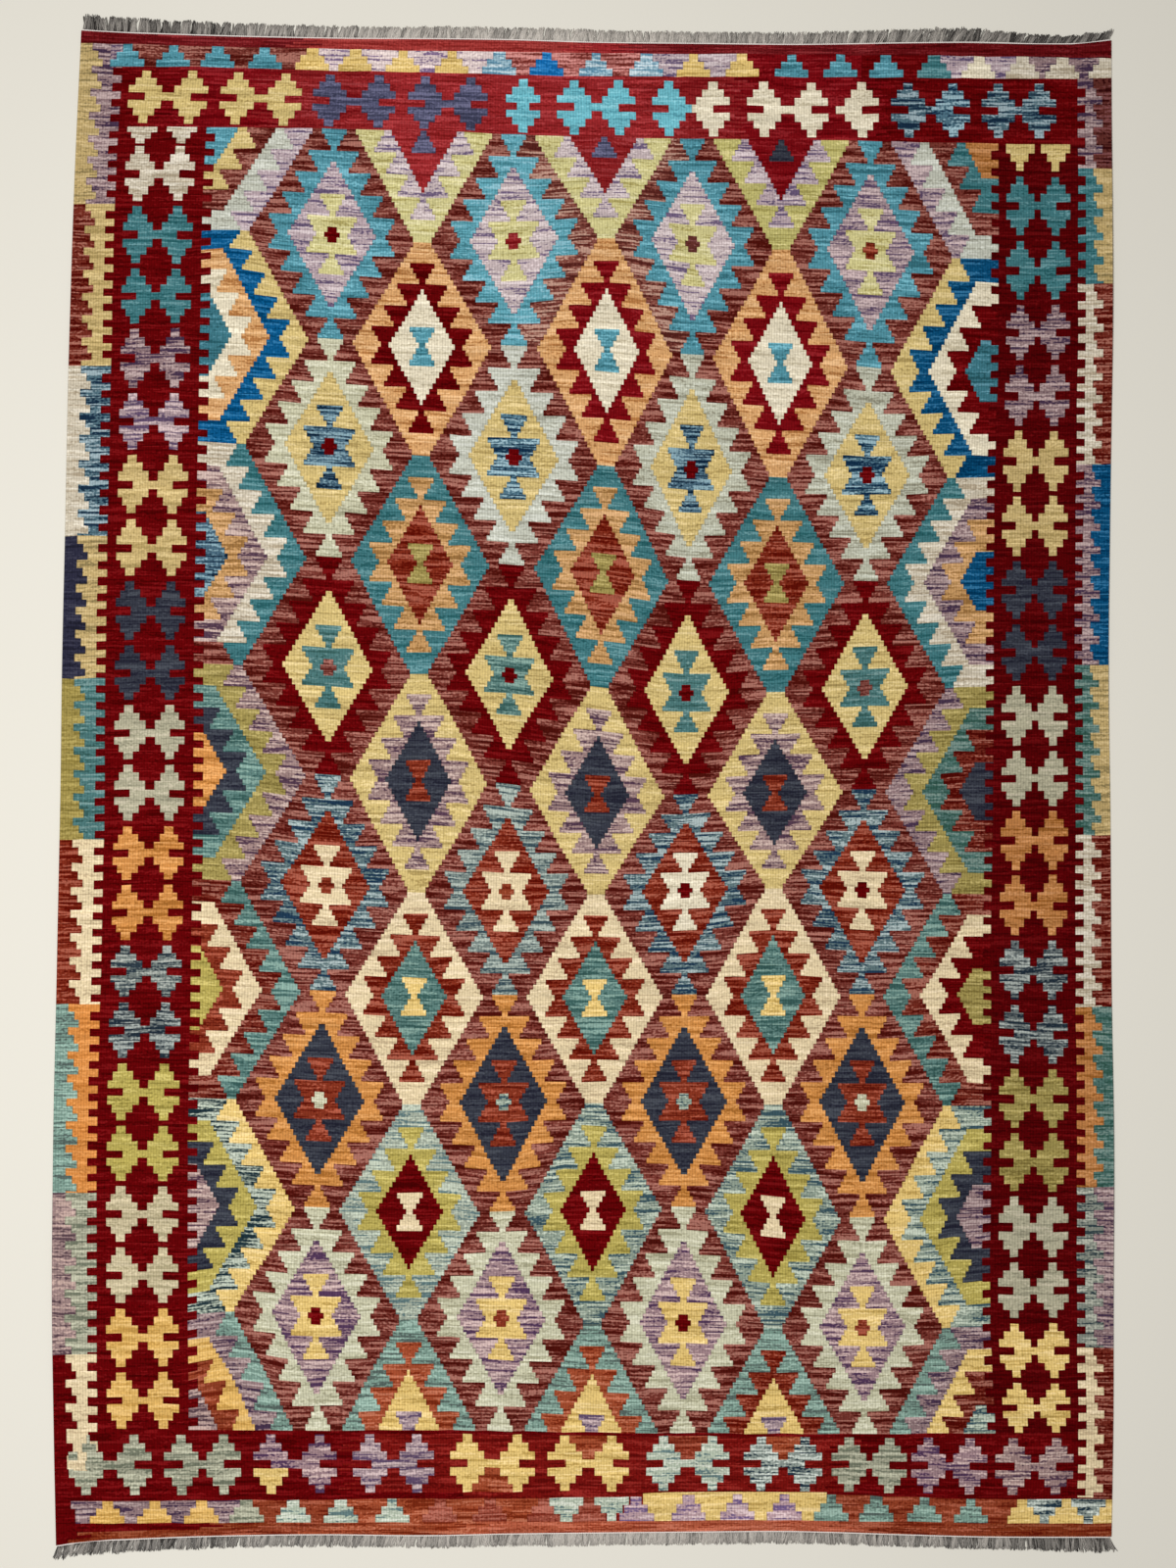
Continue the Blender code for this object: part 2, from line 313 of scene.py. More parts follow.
def wander(chance, tall, wide):
    """A soft random field from -1 to 1 over the chart's crossings, from tall by wide values."""
    coarse = chance.uniform(-1.0, 1.0, (tall, wide))
    across = np.linspace(0, wide - 1, WARPS + 1)
    down = np.linspace(0, tall - 1, PICKS + 1)
    low_x = np.minimum(across.astype(int), wide - 2)
    low_y = np.minimum(down.astype(int), tall - 2)
    share_x = across - low_x
    share_y = (down - low_y)[:, None]
    left = coarse[:, low_x] * (1 - share_x) + coarse[:, low_x + 1] * share_x
    return left[low_y] * (1 - share_y) + left[low_y + 1] * share_y


def ease_in(share):
    """From 0 where the share is 0 to 1 where it is a half or more."""
    return np.sin(np.pi * np.clip(share, 0, 0.5))


def cloth_places():
    """Where every crossing of the chart's threads lies in plan, in millimetres."""
    shares = np.linspace(0.0, 1.0, WARPS + 1)
    picks = [0.0]
    lines = [line_up(ENDS, "across", "far", shares)]
    for weft in WEFTS:
        picks.append(float(weft.pick))
        lines.append(smooth_through(np.array(WEFT_SHARES), np.array(weft[1:], dtype=float), shares))
    picks.append(float(PICKS))
    lines.append(line_up(ENDS, "across", "near", shares))
    picks = np.array(picks)
    lines = np.array(lines)
    every = np.arange(PICKS + 1, dtype=float)
    y = np.array([np.interp(every, picks, lines[:, warp]) for warp in range(WARPS + 1)]).T
    chance = np.random.RandomState(WANDER_SEED)
    inner = ease_in(every / END_BAND) * ease_in((PICKS - every) / END_BAND)
    y += PICK_WANDER * wander(chance, PICKS + 1, WANDER_WIDE) * inner[:, None]
    y += PICK_SWAY * wander(chance, *SWAY_GRID) * inner[:, None]
    left = line_up(SELVEDGES, "along", "left", y)
    right = line_up(SELVEDGES, "along", "right", y)
    x = left + (right - left) * shares
    spine = y[:, WARPS // 2]
    drifts = [line_up(DRIFTS, "along", column, spine) for column in DRIFTS[0]._fields[1:]]
    drifts = np.array([np.zeros_like(spine), *drifts, np.zeros_like(spine)])
    spots = (0, *DRIFT_WARPS, WARPS)
    every_warp = np.arange(WARPS + 1)
    x += np.array([np.interp(every_warp, spots, drifts[:, pick]) for pick in range(PICKS + 1)])
    inside = ease_in(shares * EDGE_PARTS) * ease_in((1 - shares) * EDGE_PARTS)
    x += WARP_WANDER * wander(chance, *WARP_GRID) * inside
    for pull in PULLS:
        distance = ((x - pull.x) / pull.half_x) ** 2 + ((y - pull.y) / pull.half_y) ** 2
        share = np.maximum(1.0 - distance, 0.0) ** 2
        x += pull.right * share
        y += pull.up * share
    return x, y


def lift(x, y):
    """Height of the cloth's underside: nought but on the swells."""
    height = np.zeros_like(x)
    for swell in SWELLS:
        distance = ((x - swell.x) / swell.half_x) ** 2 + ((y - swell.y) / swell.half_y) ** 2
        height = np.maximum(height, swell.height * np.maximum(1.0 - distance, 0.0) ** 2)
    return height


# ---------------------------------------------------------------------------- the chart
chart = np.zeros((PICKS, WARPS), dtype=np.int16)
# Rows and units of the field in one saw tooth
TOOTH = 4


def weave(top, bottom, left, right, yarn):
    """Fill a rectangle of the chart with one yarn."""
    rows = slice(max(round(top), 0), min(round(bottom), PICKS))
    columns = slice(max(round(left), 0), min(round(right), WARPS))
    chart[rows, columns] = YARN_NAMES.index(yarn)


def weave_field(row, left_unit, right_unit, yarn):
    """Fill part of one row of the field, by the field's own units."""
    if 0 <= row < FIELD_ROWS and right_unit > left_unit:
        top = FIELD_TOP + row * ROW
        left = max(FIELD_LEFT + UNIT * left_unit, FIELD_LEFT)
        right = min(FIELD_LEFT + UNIT * right_unit, FIELD_EDGE)
        weave(top, top + ROW, left, right, yarn)


def plain_edge(reach, off):
    """Half width of a plain stepped diamond, off rows from its middle."""
    return reach - off


def toothed_edge(teeth, off):
    """Half width of a diamond with so many saw teeth to each side, off rows from its middle."""
    if off < TOOTH:
        return TOOTH * (teeth - 1) + 1 + off
    tooth, rise = divmod(off - TOOTH, TOOTH)
    return TOOTH * (teeth - 2 - tooth) + 1 + rise


def small_cross(reach, off):
    """Half width of the small stepped lozenge in the middle of a hooked cross."""
    return reach - off if off <= 1 else 0


# Layers of each kind of nested diamond, from the outside in: how its edge runs, its size, and
# how many rows from its middle it goes on
Layer = namedtuple("Layer", "edge size rows", defaults=(19,))
HOOKED = (Layer(toothed_edge, 5), Layer(plain_edge, 14), Layer(toothed_edge, 2), Layer(small_cross, 2.5))
GLASS = (Layer(plain_edge, 22), Layer(toothed_edge, 4), Layer(plain_edge, 10.5), Layer(toothed_edge, 1))
LEFT_SIDE = (
    Layer(plain_edge, 34), Layer(toothed_edge, 7), Layer(plain_edge, 22, 15),
    Layer(toothed_edge, 4, 11), Layer(plain_edge, 10, 7),
)
RIGHT_SIDE = LEFT_SIDE[:-1] + (Layer(plain_edge, 10, 5),)
HOOKED_UNITS = (41, 99, 157, 215)
GLASS_UNITS = (70, 128, 186)

# Rows of hooked diamonds: middle row, then yarns from the outside in. A layer has one yarn, or one
# for each of the row's diamonds where the weaver changed it on the way across.
HOOKED_ROWS = table(
    "row outer inner cross middle",
    (19, ("teal", "teal_light", "teal", "teal"),
        ("lilac_soft", "lilac_light", "lilac_light", "lilac_var"), "lime_pale",
        ("dark_red", "mid_red", "wine", "brick")),
    (58, ("pale", "pale_cool", "pale_green", "pale_green"), "yellow",
        ("blue_deep", "blue_var", "blue_deep", "blue_var"), "dark_red"),
    (97, "dark_red", "yellow", ("teal_dull", "teal_var", "teal_dull", "teal_dull"),
        ("rose", "dark_red", "dark_red", "rose")),
    (136, ("blue_var_dull", "blue_pale", "blue_var_dull", "blue_var_dull"), "brick_var",
        ("cream_warm", "cream_warm", "cream", "cream_warm"),
        ("brick", "rust_dark", "dark_red", "dark_red")),
    (175, "orange_warm", "navy", "brick", ("pale", "light_blue", "light_blue", "pale")),
    (214, "pale", "purple_var", "yellow_deep", ("dark_red", "brick", "dark_red", "brick")),
)

# Rows of hourglass diamonds: middle row, then yarns from the outside in, as above
GLASS_ROWS = table(
    "row outer toothed inner glass",
    (0, ("lime_pale", "lime_pale", "lime_green"), ("lilac_light", "lilac_light", "lilac_soft"),
        ("bright_red", "mid_red", "lobe_red"), ("navy_soft", "navy_soft", "navy")),
    (39, "orange", ("dark_red", "lobe_red", "lobe_red"), "cream", "teal"),
    (78, "teal_deep", "orange_dull", "brick_var", "lime"),
    (117, "yellow", "lilac_warm", "navy", "brick"),
    (156, "cream_warm", "brick_var", "teal_var", "yellow_deep"),
    (195, ("sea_light", "light_blue", "light_blue"), "lime_warm", "dark_red", "cream_warm"),
    (234, "teal_var_pale", ("rust", "rust", "brick_var"), "yellow_deep", "lilac_var"),
)

# Half diamonds on the field's two long sides: middle row, then yarns from the outside in
LEFT_SIDES = table(
    "row first second third fourth fifth",
    (0, "lilac_soft", "pale_cool", "rose_brown", "yellow", "teal"),
    (39, "yellow", "royal_left", "orange", "cream", "teal_blue"),
    (78, "teal_deep", "cream_guard", "lilac_warm", "orange_dull", "blue_deep"),
    (117, "lilac_warm", "lime", "teal_var", "navy", "orange_warm"),
    (156, "teal_var", "brown_red", "cream_warm", "brick", "lime_warm"),
    (195, "yellow_deep", "sea_striped", "lime_warm", "navy", "lilac_warm"),
    (234, "teal_var_pale", "lilac_dusk", "yellow_warm", "rust_dark", "lilac_guard"),
)
RIGHT_SIDES = table(
    "row first second third fourth fifth",
    (0, "lilac_var", "pale_cool", "rose_brown", "teal_deep", "orange_deep"),
    (39, "yellow", "royal", "cream", "dark_red", "teal_blue"),
    (78, "teal_deep", "cream_guard", "lilac_dusk", "orange_dull", "royal"),
    (117, "lilac_dusk", "lime", "teal_guard", "brown_red", "navy"),
    (156, "teal_var", "brown_red", "cream_warm", "dark_red", "lime"),
    (195, "yellow_deep", "light_blue", "lime_warm", "navy", "lilac_dusk"),
    (234, "teal_var_pale", "lilac_dusk", "yellow_deep", "brown_red", "light_blue"),
)

# The foot of one half diamond on the left, where the ground's yarn stands in for its second one
ODD_FOOT = LEFT_SIDES[2].row
ODD_FOOT_ROWS = (16, 19)


def nest(row, unit, layers, yarns):
    """Weave one nested diamond, layer over layer, about its middle row and unit."""
    for layer, yarn in zip(layers, yarns):
        for off in range(-layer.rows, layer.rows + 1):
            half = layer.edge(layer.size, abs(off))
            weave_field(row + off, unit - half, unit + half, yarn)


def nest_row(row, units, layers):
    """Weave a row of nested diamonds. A layer with one yarn has it in every diamond."""
    for index, unit in enumerate(units):
        nest(row[0], unit, layers, [yarn if isinstance(yarn, str) else yarn[index] for yarn in row[1:]])


def weave_diamonds():
    weave(FIELD_TOP, FIELD_BOTTOM, FIELD_LEFT, FIELD_EDGE, "rose_brown")
    middles = [FIELD_LEFT + UNIT * unit for unit in HOOKED_UNITS]
    weave(FIELD_TOP, FIELD_TOP + ROW * GLASS_ROWS[1].row, middles[1], middles[2], "rose_soft")
    for row in HOOKED_ROWS:
        nest_row(row, HOOKED_UNITS, HOOKED)
    for row in GLASS_ROWS:
        nest_row(row, GLASS_UNITS, GLASS)
    for left, right in zip(LEFT_SIDES, RIGHT_SIDES):
        nest_row(left, (0,), LEFT_SIDE)
        nest_row(right, (FIELD_UNITS,), RIGHT_SIDE)
    for off in range(ODD_FOOT_ROWS[0], ODD_FOOT_ROWS[1] + 1):
        weave_field(ODD_FOOT + off, 0, toothed_edge(LEFT_SIDE[1].size, off), "rose_brown")


# Hooked lobes of the borders: how many steps they have and which one has the slot, half widths
# of the steps and middles of the side lobes in warps, and the gap between two pairs in picks
LOBE_STEPS = 7
SLOT_STEP = 3
LOBE_WIDTHS = {"left": (3, 6.5, 10), "right": (2.5, 6, 9.3), "end": (3, 6.75, 11)}
LEFT_LOBES = (43.5, 70)
RIGHT_LOBES = (FIELD_RIGHT + 16.5, FIELD_RIGHT + 39.5)
PAIR_GAP = 4.6

# Pairs of lobes down both side borders: a yarn, and its pairs' first picks. Half a pair starts
# each border.
LEFT_PAIRS = table(
    "yarn tops",
    ("cream_guard", (107,)), ("teal_deep", (165, 225)), ("lilac_dusk", (281,)), ("lilac_var", (340,)),
    ("yellow_dull", (395, 450)), ("navy", (504, 562)), ("pale_dull", (617, 672)),
    ("orange_warm", (727, 779)), ("sea_grey", (833,)), ("sea_dark", (884,)), ("lime_warm", (938, 994)),
    ("pale_warm", (1049, 1102)), ("yellow_warm", (1155, 1209)),
)
RIGHT_PAIRS = table(
    "yarn tops",
    ("teal_deep", (116, 172)), ("lilac_dusk", (227, 279)), ("yellow_dull", (340, 401)),
    ("navy", (462, 521)), ("pale_dull", (578, 638)), ("orange_deep", (694, 755)),
    ("sea_dark", (817, 878)), ("lime", (935, 992)), ("pale_dull", (1049, 1107)),
    ("yellow_deep", (1160, 1213)),
)


def lobe(top, centre, widths, yarn, bar_left=0.0, bar_right=0.0, first=0, step=STEP):
    """One lobe of steps, with a slot in its middle step except towards what it is joined to."""
    for index in range(first, LOBE_STEPS):
        above = top + (index - first) * step
        from_end = min(index, LOBE_STEPS - 1 - index)
        if index == SLOT_STEP:
            weave(above, above + step, centre - bar_left, centre + bar_right, yarn)
        else:
            half = widths[from_end]
            weave(above, above + step, centre - half, centre + half, yarn)


def lobe_pair(top, centres, widths, yarn, **part):
    """Two lobes side by side, joined by a bar from middle to middle."""
    reach = (centres[1] - centres[0]) / 2
    lobe(top, centres[0], widths, yarn, bar_right=reach, **part)
    lobe(top, centres[1], widths, yarn, bar_left=reach, **part)


def weave_side_lobes():
    for side, pairs, centres, yarn, step in (
        ("left", LEFT_PAIRS, LEFT_LOBES, "cream_guard", 5.3),
        ("right", RIGHT_PAIRS, RIGHT_LOBES, "yellow", 7.7),
    ):
        lobe_pair(FIELD_TOP, centres, LOBE_WIDTHS[side], yarn, first=SLOT_STEP + 1, step=step)
        yarns = [pair.yarn for pair in pairs for top in pair.tops]
        tops = [top for pair in pairs for top in pair.tops]
        ends = tops[1:] + [FIELD_BOTTOM + PAIR_GAP - 1]
        for yarn, top, end in zip(yarns, tops, ends):
            step = (end - top - PAIR_GAP) / LOBE_STEPS
            lobe_pair(top, centres, LOBE_WIDTHS[side], yarn, step=step)


# Lobes of the two end bands: a yarn, its lobes' middles in warps, and which way the bar in each
# one's slot goes: > to the right, < to the left, - a little to both
FAR_LOBE_ROW = table(
    "yarn centres bars",
    ("yellow", (44, 74, 104, 135), "><><"), ("navy_soft", (164, 196, 226, 256), "><><"),
    ("turquoise", (290, 323, 352, 385), "-><>"), ("cream", (414, 447, 478, 511), "<><<"),
    ("blue_mixed", (541,), ">"), ("blue_var", (570,), "<"), ("blue_mixed", (600, 627), "><"),
)
NEAR_LOBE_ROW = table(
    "yarn centres bars",
    ("sea_pale", (20, 51, 81.5, 108), "><><"), ("purple_var", (138, 169), "><"),
    ("lilac_var", (201.5, 231), "><"), ("yellow_deep", (263, 295.5, 325.5, 355.5), "><><"),
    ("sea_var", (388, 419), "><"), ("sea_mixed", (450, 478), "><"), ("sea_pale", (506, 532), "><"),
    ("purple_var", (557, 584), "><"), ("lilac_warm", (611.5, 638), "><"),
)
# Half width of a slot that goes neither way, in warps, and the height of half a lobe, in picks
LONE_BAR = 3.5
HALF_LOBE = 4 * STEP

# Patches of another yarn in the ground between lobes: edges in warps and in picks from the band
NEAR_PATCHES = table(
    "left right top bottom yarn",
    (263, 296, HALF_LOBE, LOBE_BAND, "rust"), (325, 356, 0, HALF_LOBE, "rust"),
    (388, 419, 0, HALF_LOBE, "brick"), (450, 478, 0, HALF_LOBE, "rust"),
)
# Middle of the lobe whose nearer half is of another yarn
OTHER_YARN_CENTRE = 138


def weave_lobe_row(top, row):
    """A row of lobes, each with its bar to the next one or to the last one."""
    lobes = [(*one, part.yarn) for part in row for one in zip(part.centres, part.bars)]
    for index, (centre, bar, yarn) in enumerate(lobes):
        left = right = LONE_BAR * (bar == "-")
        if bar == "<":
            left = (centre - lobes[index - 1][0]) / 2
        if bar == ">":
            right = (lobes[index + 1][0] - centre) / 2
        lobe(top, centre, LOBE_WIDTHS["end"], yarn, bar_left=left, bar_right=right)


def weave_near_lobes():
    for patch in NEAR_PATCHES:
        weave(NEAR_LOBES + patch.top, NEAR_LOBES + patch.bottom, patch.left, patch.right, patch.yarn)
    weave_lobe_row(NEAR_LOBES, NEAR_LOBE_ROW)
    lobe(NEAR_LOBES + HALF_LOBE, OTHER_YARN_CENTRE, LOBE_WIDTHS["end"], "yellow_deep", first=SLOT_STEP + 1)
    for index, above, below in steps_down(NEAR_LOBES, LEFT_GUARDS[-1].bottom, SAW_STEP):
        weave(above, below, LEFT_SAW[index % len(LEFT_SAW)], CORNER_EDGES[index % 2], LEFT_GUARDS[-1].inner)


# Grounds of the two rows of stepped pyramids, and the pyramids: places in warps. Most grounds run
# from the middle of one pyramid to the middle of another.
FAR_GROUNDS = table(
    "left right yarn",
    (20, 31, "lilac_var"), (31, 152, "rose_brown"), (152, 274, "lilac_pale"), (274, 370, "rose_light"),
    (370, 432.5, "lilac_soft"), (432.5, 511, "lobe_red"), (511, 558, "dark_red"),
    (558, 616, "lilac_soft"), (616, 674, "lilac_dusk"),
)
FAR_PYRAMID_ROW = table(
    "yarn up centres",
    ("teal", True, (31, 61, 90, 120.5)), ("yellow_deep", True, (152, 180, 211, 243)),
    ("sea_bright", True, (274,)), ("royal_bright", True, (305,)), ("sea_bright", True, (337, 370)),
    ("yellow_deep", True, (401, 432.5)), ("teal", True, (465, 497, 526.5)), ("teal_deep", True, (558,)),
    ("cream", True, (587.5,)), ("cream_guard", True, (616, 642, 670)),
)
NEAR_GROUNDS = table(
    "left right yarn",
    (13, 122, "lilac_dusk"), (122, 182, "rust_dark"), (182, 350, "rust"), (375, 495, "yellow_deep"),
    (495, 608, "rust_dark"), (608, 674, "yellow_deep"),
)
NEAR_PYRAMID_ROW = table(
    "yarn up centres",
    ("yellow_warm", True, (33.5, 63.5, 93.5)), ("sea_pale", True, (122,)),
    ("sea_var", True, (152, 182, 215)), ("rose_rust", True, (245.5, 277.5, 312, 340)),
    ("sea_var", False, (326, 355)), ("lilac_mid", True, (370.5, 404, 435, 465)),
    ("teal_var_pale", True, (495, 524, 555, 585)), ("sea_mixed", False, (631, 659)),
)
# The near row's taller ground: its edges in warps, and how many picks it is taller. Then the
# steps at two grounds' ends: picks from the row's top, and edges in warps.
TALL_GROUND = (375, 492)
TALL_MORE = 4
STEPPED_ENDS = table(
    "above left right yarn",
    (0, 10, 13, "lilac_dusk"), (STEP, 13, 16, "lilac_dusk"),
    (0, 600, 614, "rust_dark"), (STEP, 600, 610, "rust_dark"),
)
# Half widths of a pyramid's steps, in warps
PYRAMID_WIDTHS = (3.5, 7.5, 11)


def weave_near_pyramids():
    """The near row, with its one taller ground and the stepped ends of two others."""
    weave(NEAR_PYRAMIDS - TALL_MORE, NEAR_PYRAMIDS, *TALL_GROUND, "yellow_deep")
    weave_pyramids(NEAR_PYRAMIDS, NEAR_GROUNDS, NEAR_PYRAMID_ROW)
    for end in STEPPED_ENDS:
        weave(NEAR_PYRAMIDS + end.above, NEAR_PYRAMIDS + end.above + STEP, end.left, end.right, end.yarn)


def weave_pyramids(top, grounds, pyramids):
    for ground in grounds:
        weave(top, top + PYRAMID_BAND, ground.left, ground.right, ground.yarn)
    for group in pyramids:
        widths = PYRAMID_WIDTHS if group.up else PYRAMID_WIDTHS[::-1]
        for centre in group.centres:
            for index, half in enumerate(widths):
                above = top + index * STEP
                weave(above, above + STEP, centre - half, centre + half, group.yarn)


# Guards at the two selvedges: first and last pick, and their yarns from the edge inwards
LEFT_GUARDS = table(
    "top bottom outer inner",
    (12, 163, "yellow_guard", "lilac_dusk"), (163, 315, "brown_red", "yellow_dull"),
    (315, 464, "cream_guard", "blue_mixed"), (464, 592, "navy_guard", "yellow_guard"),
    (592, 738, "lime_guard", "teal_dull"), (738, 885, "brick_var", "cream_warm"),
    (885, 1054, "teal_var_pale", "orange_guard"), (1054, 1194, "lilac_guard", "sea_pale"),
    (1194, 1290, "dark_red", "cream_warm"),
)
RIGHT_GUARDS = table(
    "top bottom outer inner",
    (33, 109, "wine", "lilac_dusk"), (109, 209, "yellow_guard", "teal_deep"),
    (209, 371, "brown_red", "cream_guard"), (371, 558, "royal", "lilac_dusk"),
    (558, 717, "yellow_guard", "teal_guard"), (717, 879, "brown_red", "cream_guard"),
    (879, 1040, "teal_guard", "orange_deep"), (1040, 1182, "lilac_dusk", "sea_guard"),
    (1182, 1314, "brown_red", "cream_warm"),
)
# Heights of the steps of a guard's comb and saw in picks, and their edges in warps from its
# selvedge. The comb beside the near lobes has edges of its own.
COMB_STEP = 7.25
SAW_STEP = 7.0
LEFT_SAW = (8.3, 11.8, 15.2)
LEFT_COMB = (27.8, 21.8)
RIGHT_SAW = (12.3, 9.5, 6.3)
RIGHT_COMB = (22.4, 17.3)
CORNER_EDGES = (21, 18)
# Notches in the field's long sides: their height in picks, and their depths in warps
INNER_COMB_STEP = 7.3
LEFT_NOTCH = 6
RIGHT_NOTCH = 5


def steps_down(top, bottom, step):
    """Tops and bottoms of equal steps between two picks."""
    count = int((bottom - top) / step) + 1
    for index in range(count):
        yield index, top + index * step, min(top + (index + 1) * step, bottom)


def weave_guards():
    for guards, saw, comb, mirrored in (
        (LEFT_GUARDS, LEFT_SAW, LEFT_COMB, False),
        (RIGHT_GUARDS, RIGHT_SAW, RIGHT_COMB, True),
    ):
        for guard in guards:
            for index, above, below in steps_down(guard.top, guard.bottom, COMB_STEP):
                weave_from_edge(above, below, comb[index % len(comb)], guard.inner, mirrored)
            for index, above, below in steps_down(guard.top, guard.bottom, SAW_STEP):
                weave_from_edge(above, below, saw[index % len(saw)], guard.outer, mirrored)


def weave_from_edge(top, bottom, wide, yarn, mirrored):
    """Fill a width from the left selvedge, or from the right one if mirrored."""
    if mirrored:
        weave(top, bottom, WARPS - wide, WARPS, yarn)
    else:
        weave(top, bottom, 0, wide, yarn)


def weave_inner_combs():
    """Notches of the border's red in both long sides of the field."""
    for index, above, below in steps_down(FIELD_TOP - 1, FIELD_BOTTOM, INNER_COMB_STEP):
        if index % 2:
            weave(above, below, FIELD_LEFT, FIELD_LEFT + LEFT_NOTCH, "dark_red")
            weave(above, below, FIELD_EDGE - RIGHT_NOTCH, FIELD_EDGE, "deep_red")


# Grounds of one yarn
GROUNDS = table(
    "top bottom left right yarn",
    (0, PICKS, 0, WARPS, "dark_red"), (FIELD_TOP, FIELD_BOTTOM, FIELD_EDGE, WARPS, "deep_red"),
    (NEAR_PYRAMIDS - NEAR_GAP, NEAR_END, 260, 380, "near_red"),
)

# Grounds of the end bands that change yarn on the way across: from which warp each yarn goes on.
# The changes are ragged, as every second pick turns back at another warp.
RAGGED = (0, 9, -6, 13, -11, 4, -14, 7)
FAR_END_GROUND = table(
    "left yarn",
    (0, "end_dark"), (50, "end_red"), (145, "end_bright"), (325, "bright_red"), (358, "end_red"),
    (520, "end_dark"),
)
FAR_LOBE_GROUND = table(
    "left yarn",
    (0, "dark_red"), (58, "lobe_red"), (125, "mid_red"), (190, "bright_red"), (380, "mid_red"),
    (428, "lobe_red"), (520, "dark_red"),
)
NEAR_LOBE_GROUND = table(
    "left yarn",
    (0, "dark_red"), (195, "near_red"), (505, "dark_red"),
)
NEAR_END_GROUND = table(
    "left yarn",
    (0, "dark_red"), (98, "rust_deep"), (135, "rust_dark"), (175, "rust"), (268, "rust_bright"),
    (500, "rust_dark"), (598, "rust_deep"),
)
NEAR_EDGE_GROUND = table(
    "left yarn",
    (0, "dark_red"), (14, "rust_deep"), (90, "rust_dark"), (160, "rust"), (268, "rust_bright"),
    (510, "rust_dark"), (598, "rust_deep"),
)


def weave_ragged(top, bottom, changes):
    for index, above in enumerate(range(top, bottom, 2)):
        for change in changes:
            left = change.left + RAGGED[index % len(RAGGED)] * (change.left > 0)
            weave(above, min(above + 2, bottom), left, WARPS, change.yarn)


def draw_chart():
    for span in GROUNDS:
        weave(span.top, span.bottom, span.left, span.right, span.yarn)
    weave_ragged(0, END_BAND, FAR_END_GROUND)
    weave_ragged(FAR_LOBES - THIN_GAP, FIELD_TOP, FAR_LOBE_GROUND)
    weave_ragged(NEAR_LOBES, NEAR_PYRAMIDS - NEAR_GAP, NEAR_LOBE_GROUND)
    weave_ragged(NEAR_END, PICKS, NEAR_END_GROUND)
    weave_ragged(NEAR_END + END_BAND // 2, PICKS, NEAR_EDGE_GROUND)
    weave_diamonds()
    weave_inner_combs()
    weave_side_lobes()
    weave_guards()
    weave_pyramids(FAR_PYRAMIDS, FAR_GROUNDS, FAR_PYRAMID_ROW)
    weave_lobe_row(FAR_LOBES, FAR_LOBE_ROW)
    weave_near_lobes()
    weave_near_pyramids()


# ---------------------------------------------------------------------------- the cloth's mesh
# Longest face: it keeps the mesh on the swells
LONGEST_ACROSS = 36
LONGEST_DOWN = 45

Patch = namedtuple("Patch", "left right run_left run_right yarn")


def row_patches(pick):
    """One pick of the chart as patches, each within one run of its yarn."""
    yarns = chart[pick]
    edges = [0, *(np.flatnonzero(np.diff(yarns)) + 1).tolist(), WARPS]
    patches = []
    for run_left, run_right in zip(edges, edges[1:]):
        first = (run_left // LONGEST_ACROSS + 1) * LONGEST_ACROSS
        cuts = [run_left, *range(first, run_right, LONGEST_ACROSS), run_right]
        for left, right in zip(cuts, cuts[1:]):
            patches.append(Patch(left, right, run_left, run_right, int(yarns[run_left])))
    return patches


def chart_rectangles():
    """The whole chart as rectangles: a patch with its first and last pick."""
    started = {}
    rectangles = []
    for pick in range(PICKS + 1):
        again = pick < PICKS and pick % LONGEST_DOWN and np.array_equal(chart[pick], chart[pick - 1])
        if pick and again:
            continue
        patches = set(row_patches(pick)) if pick < PICKS else set()
        keep = patches if pick % LONGEST_DOWN else set()
        for patch in [patch for patch in started if patch not in keep]:
            rectangles.append((patch, started.pop(patch), pick))
        for patch in patches:
            started.setdefault(patch, pick)
    return rectangles


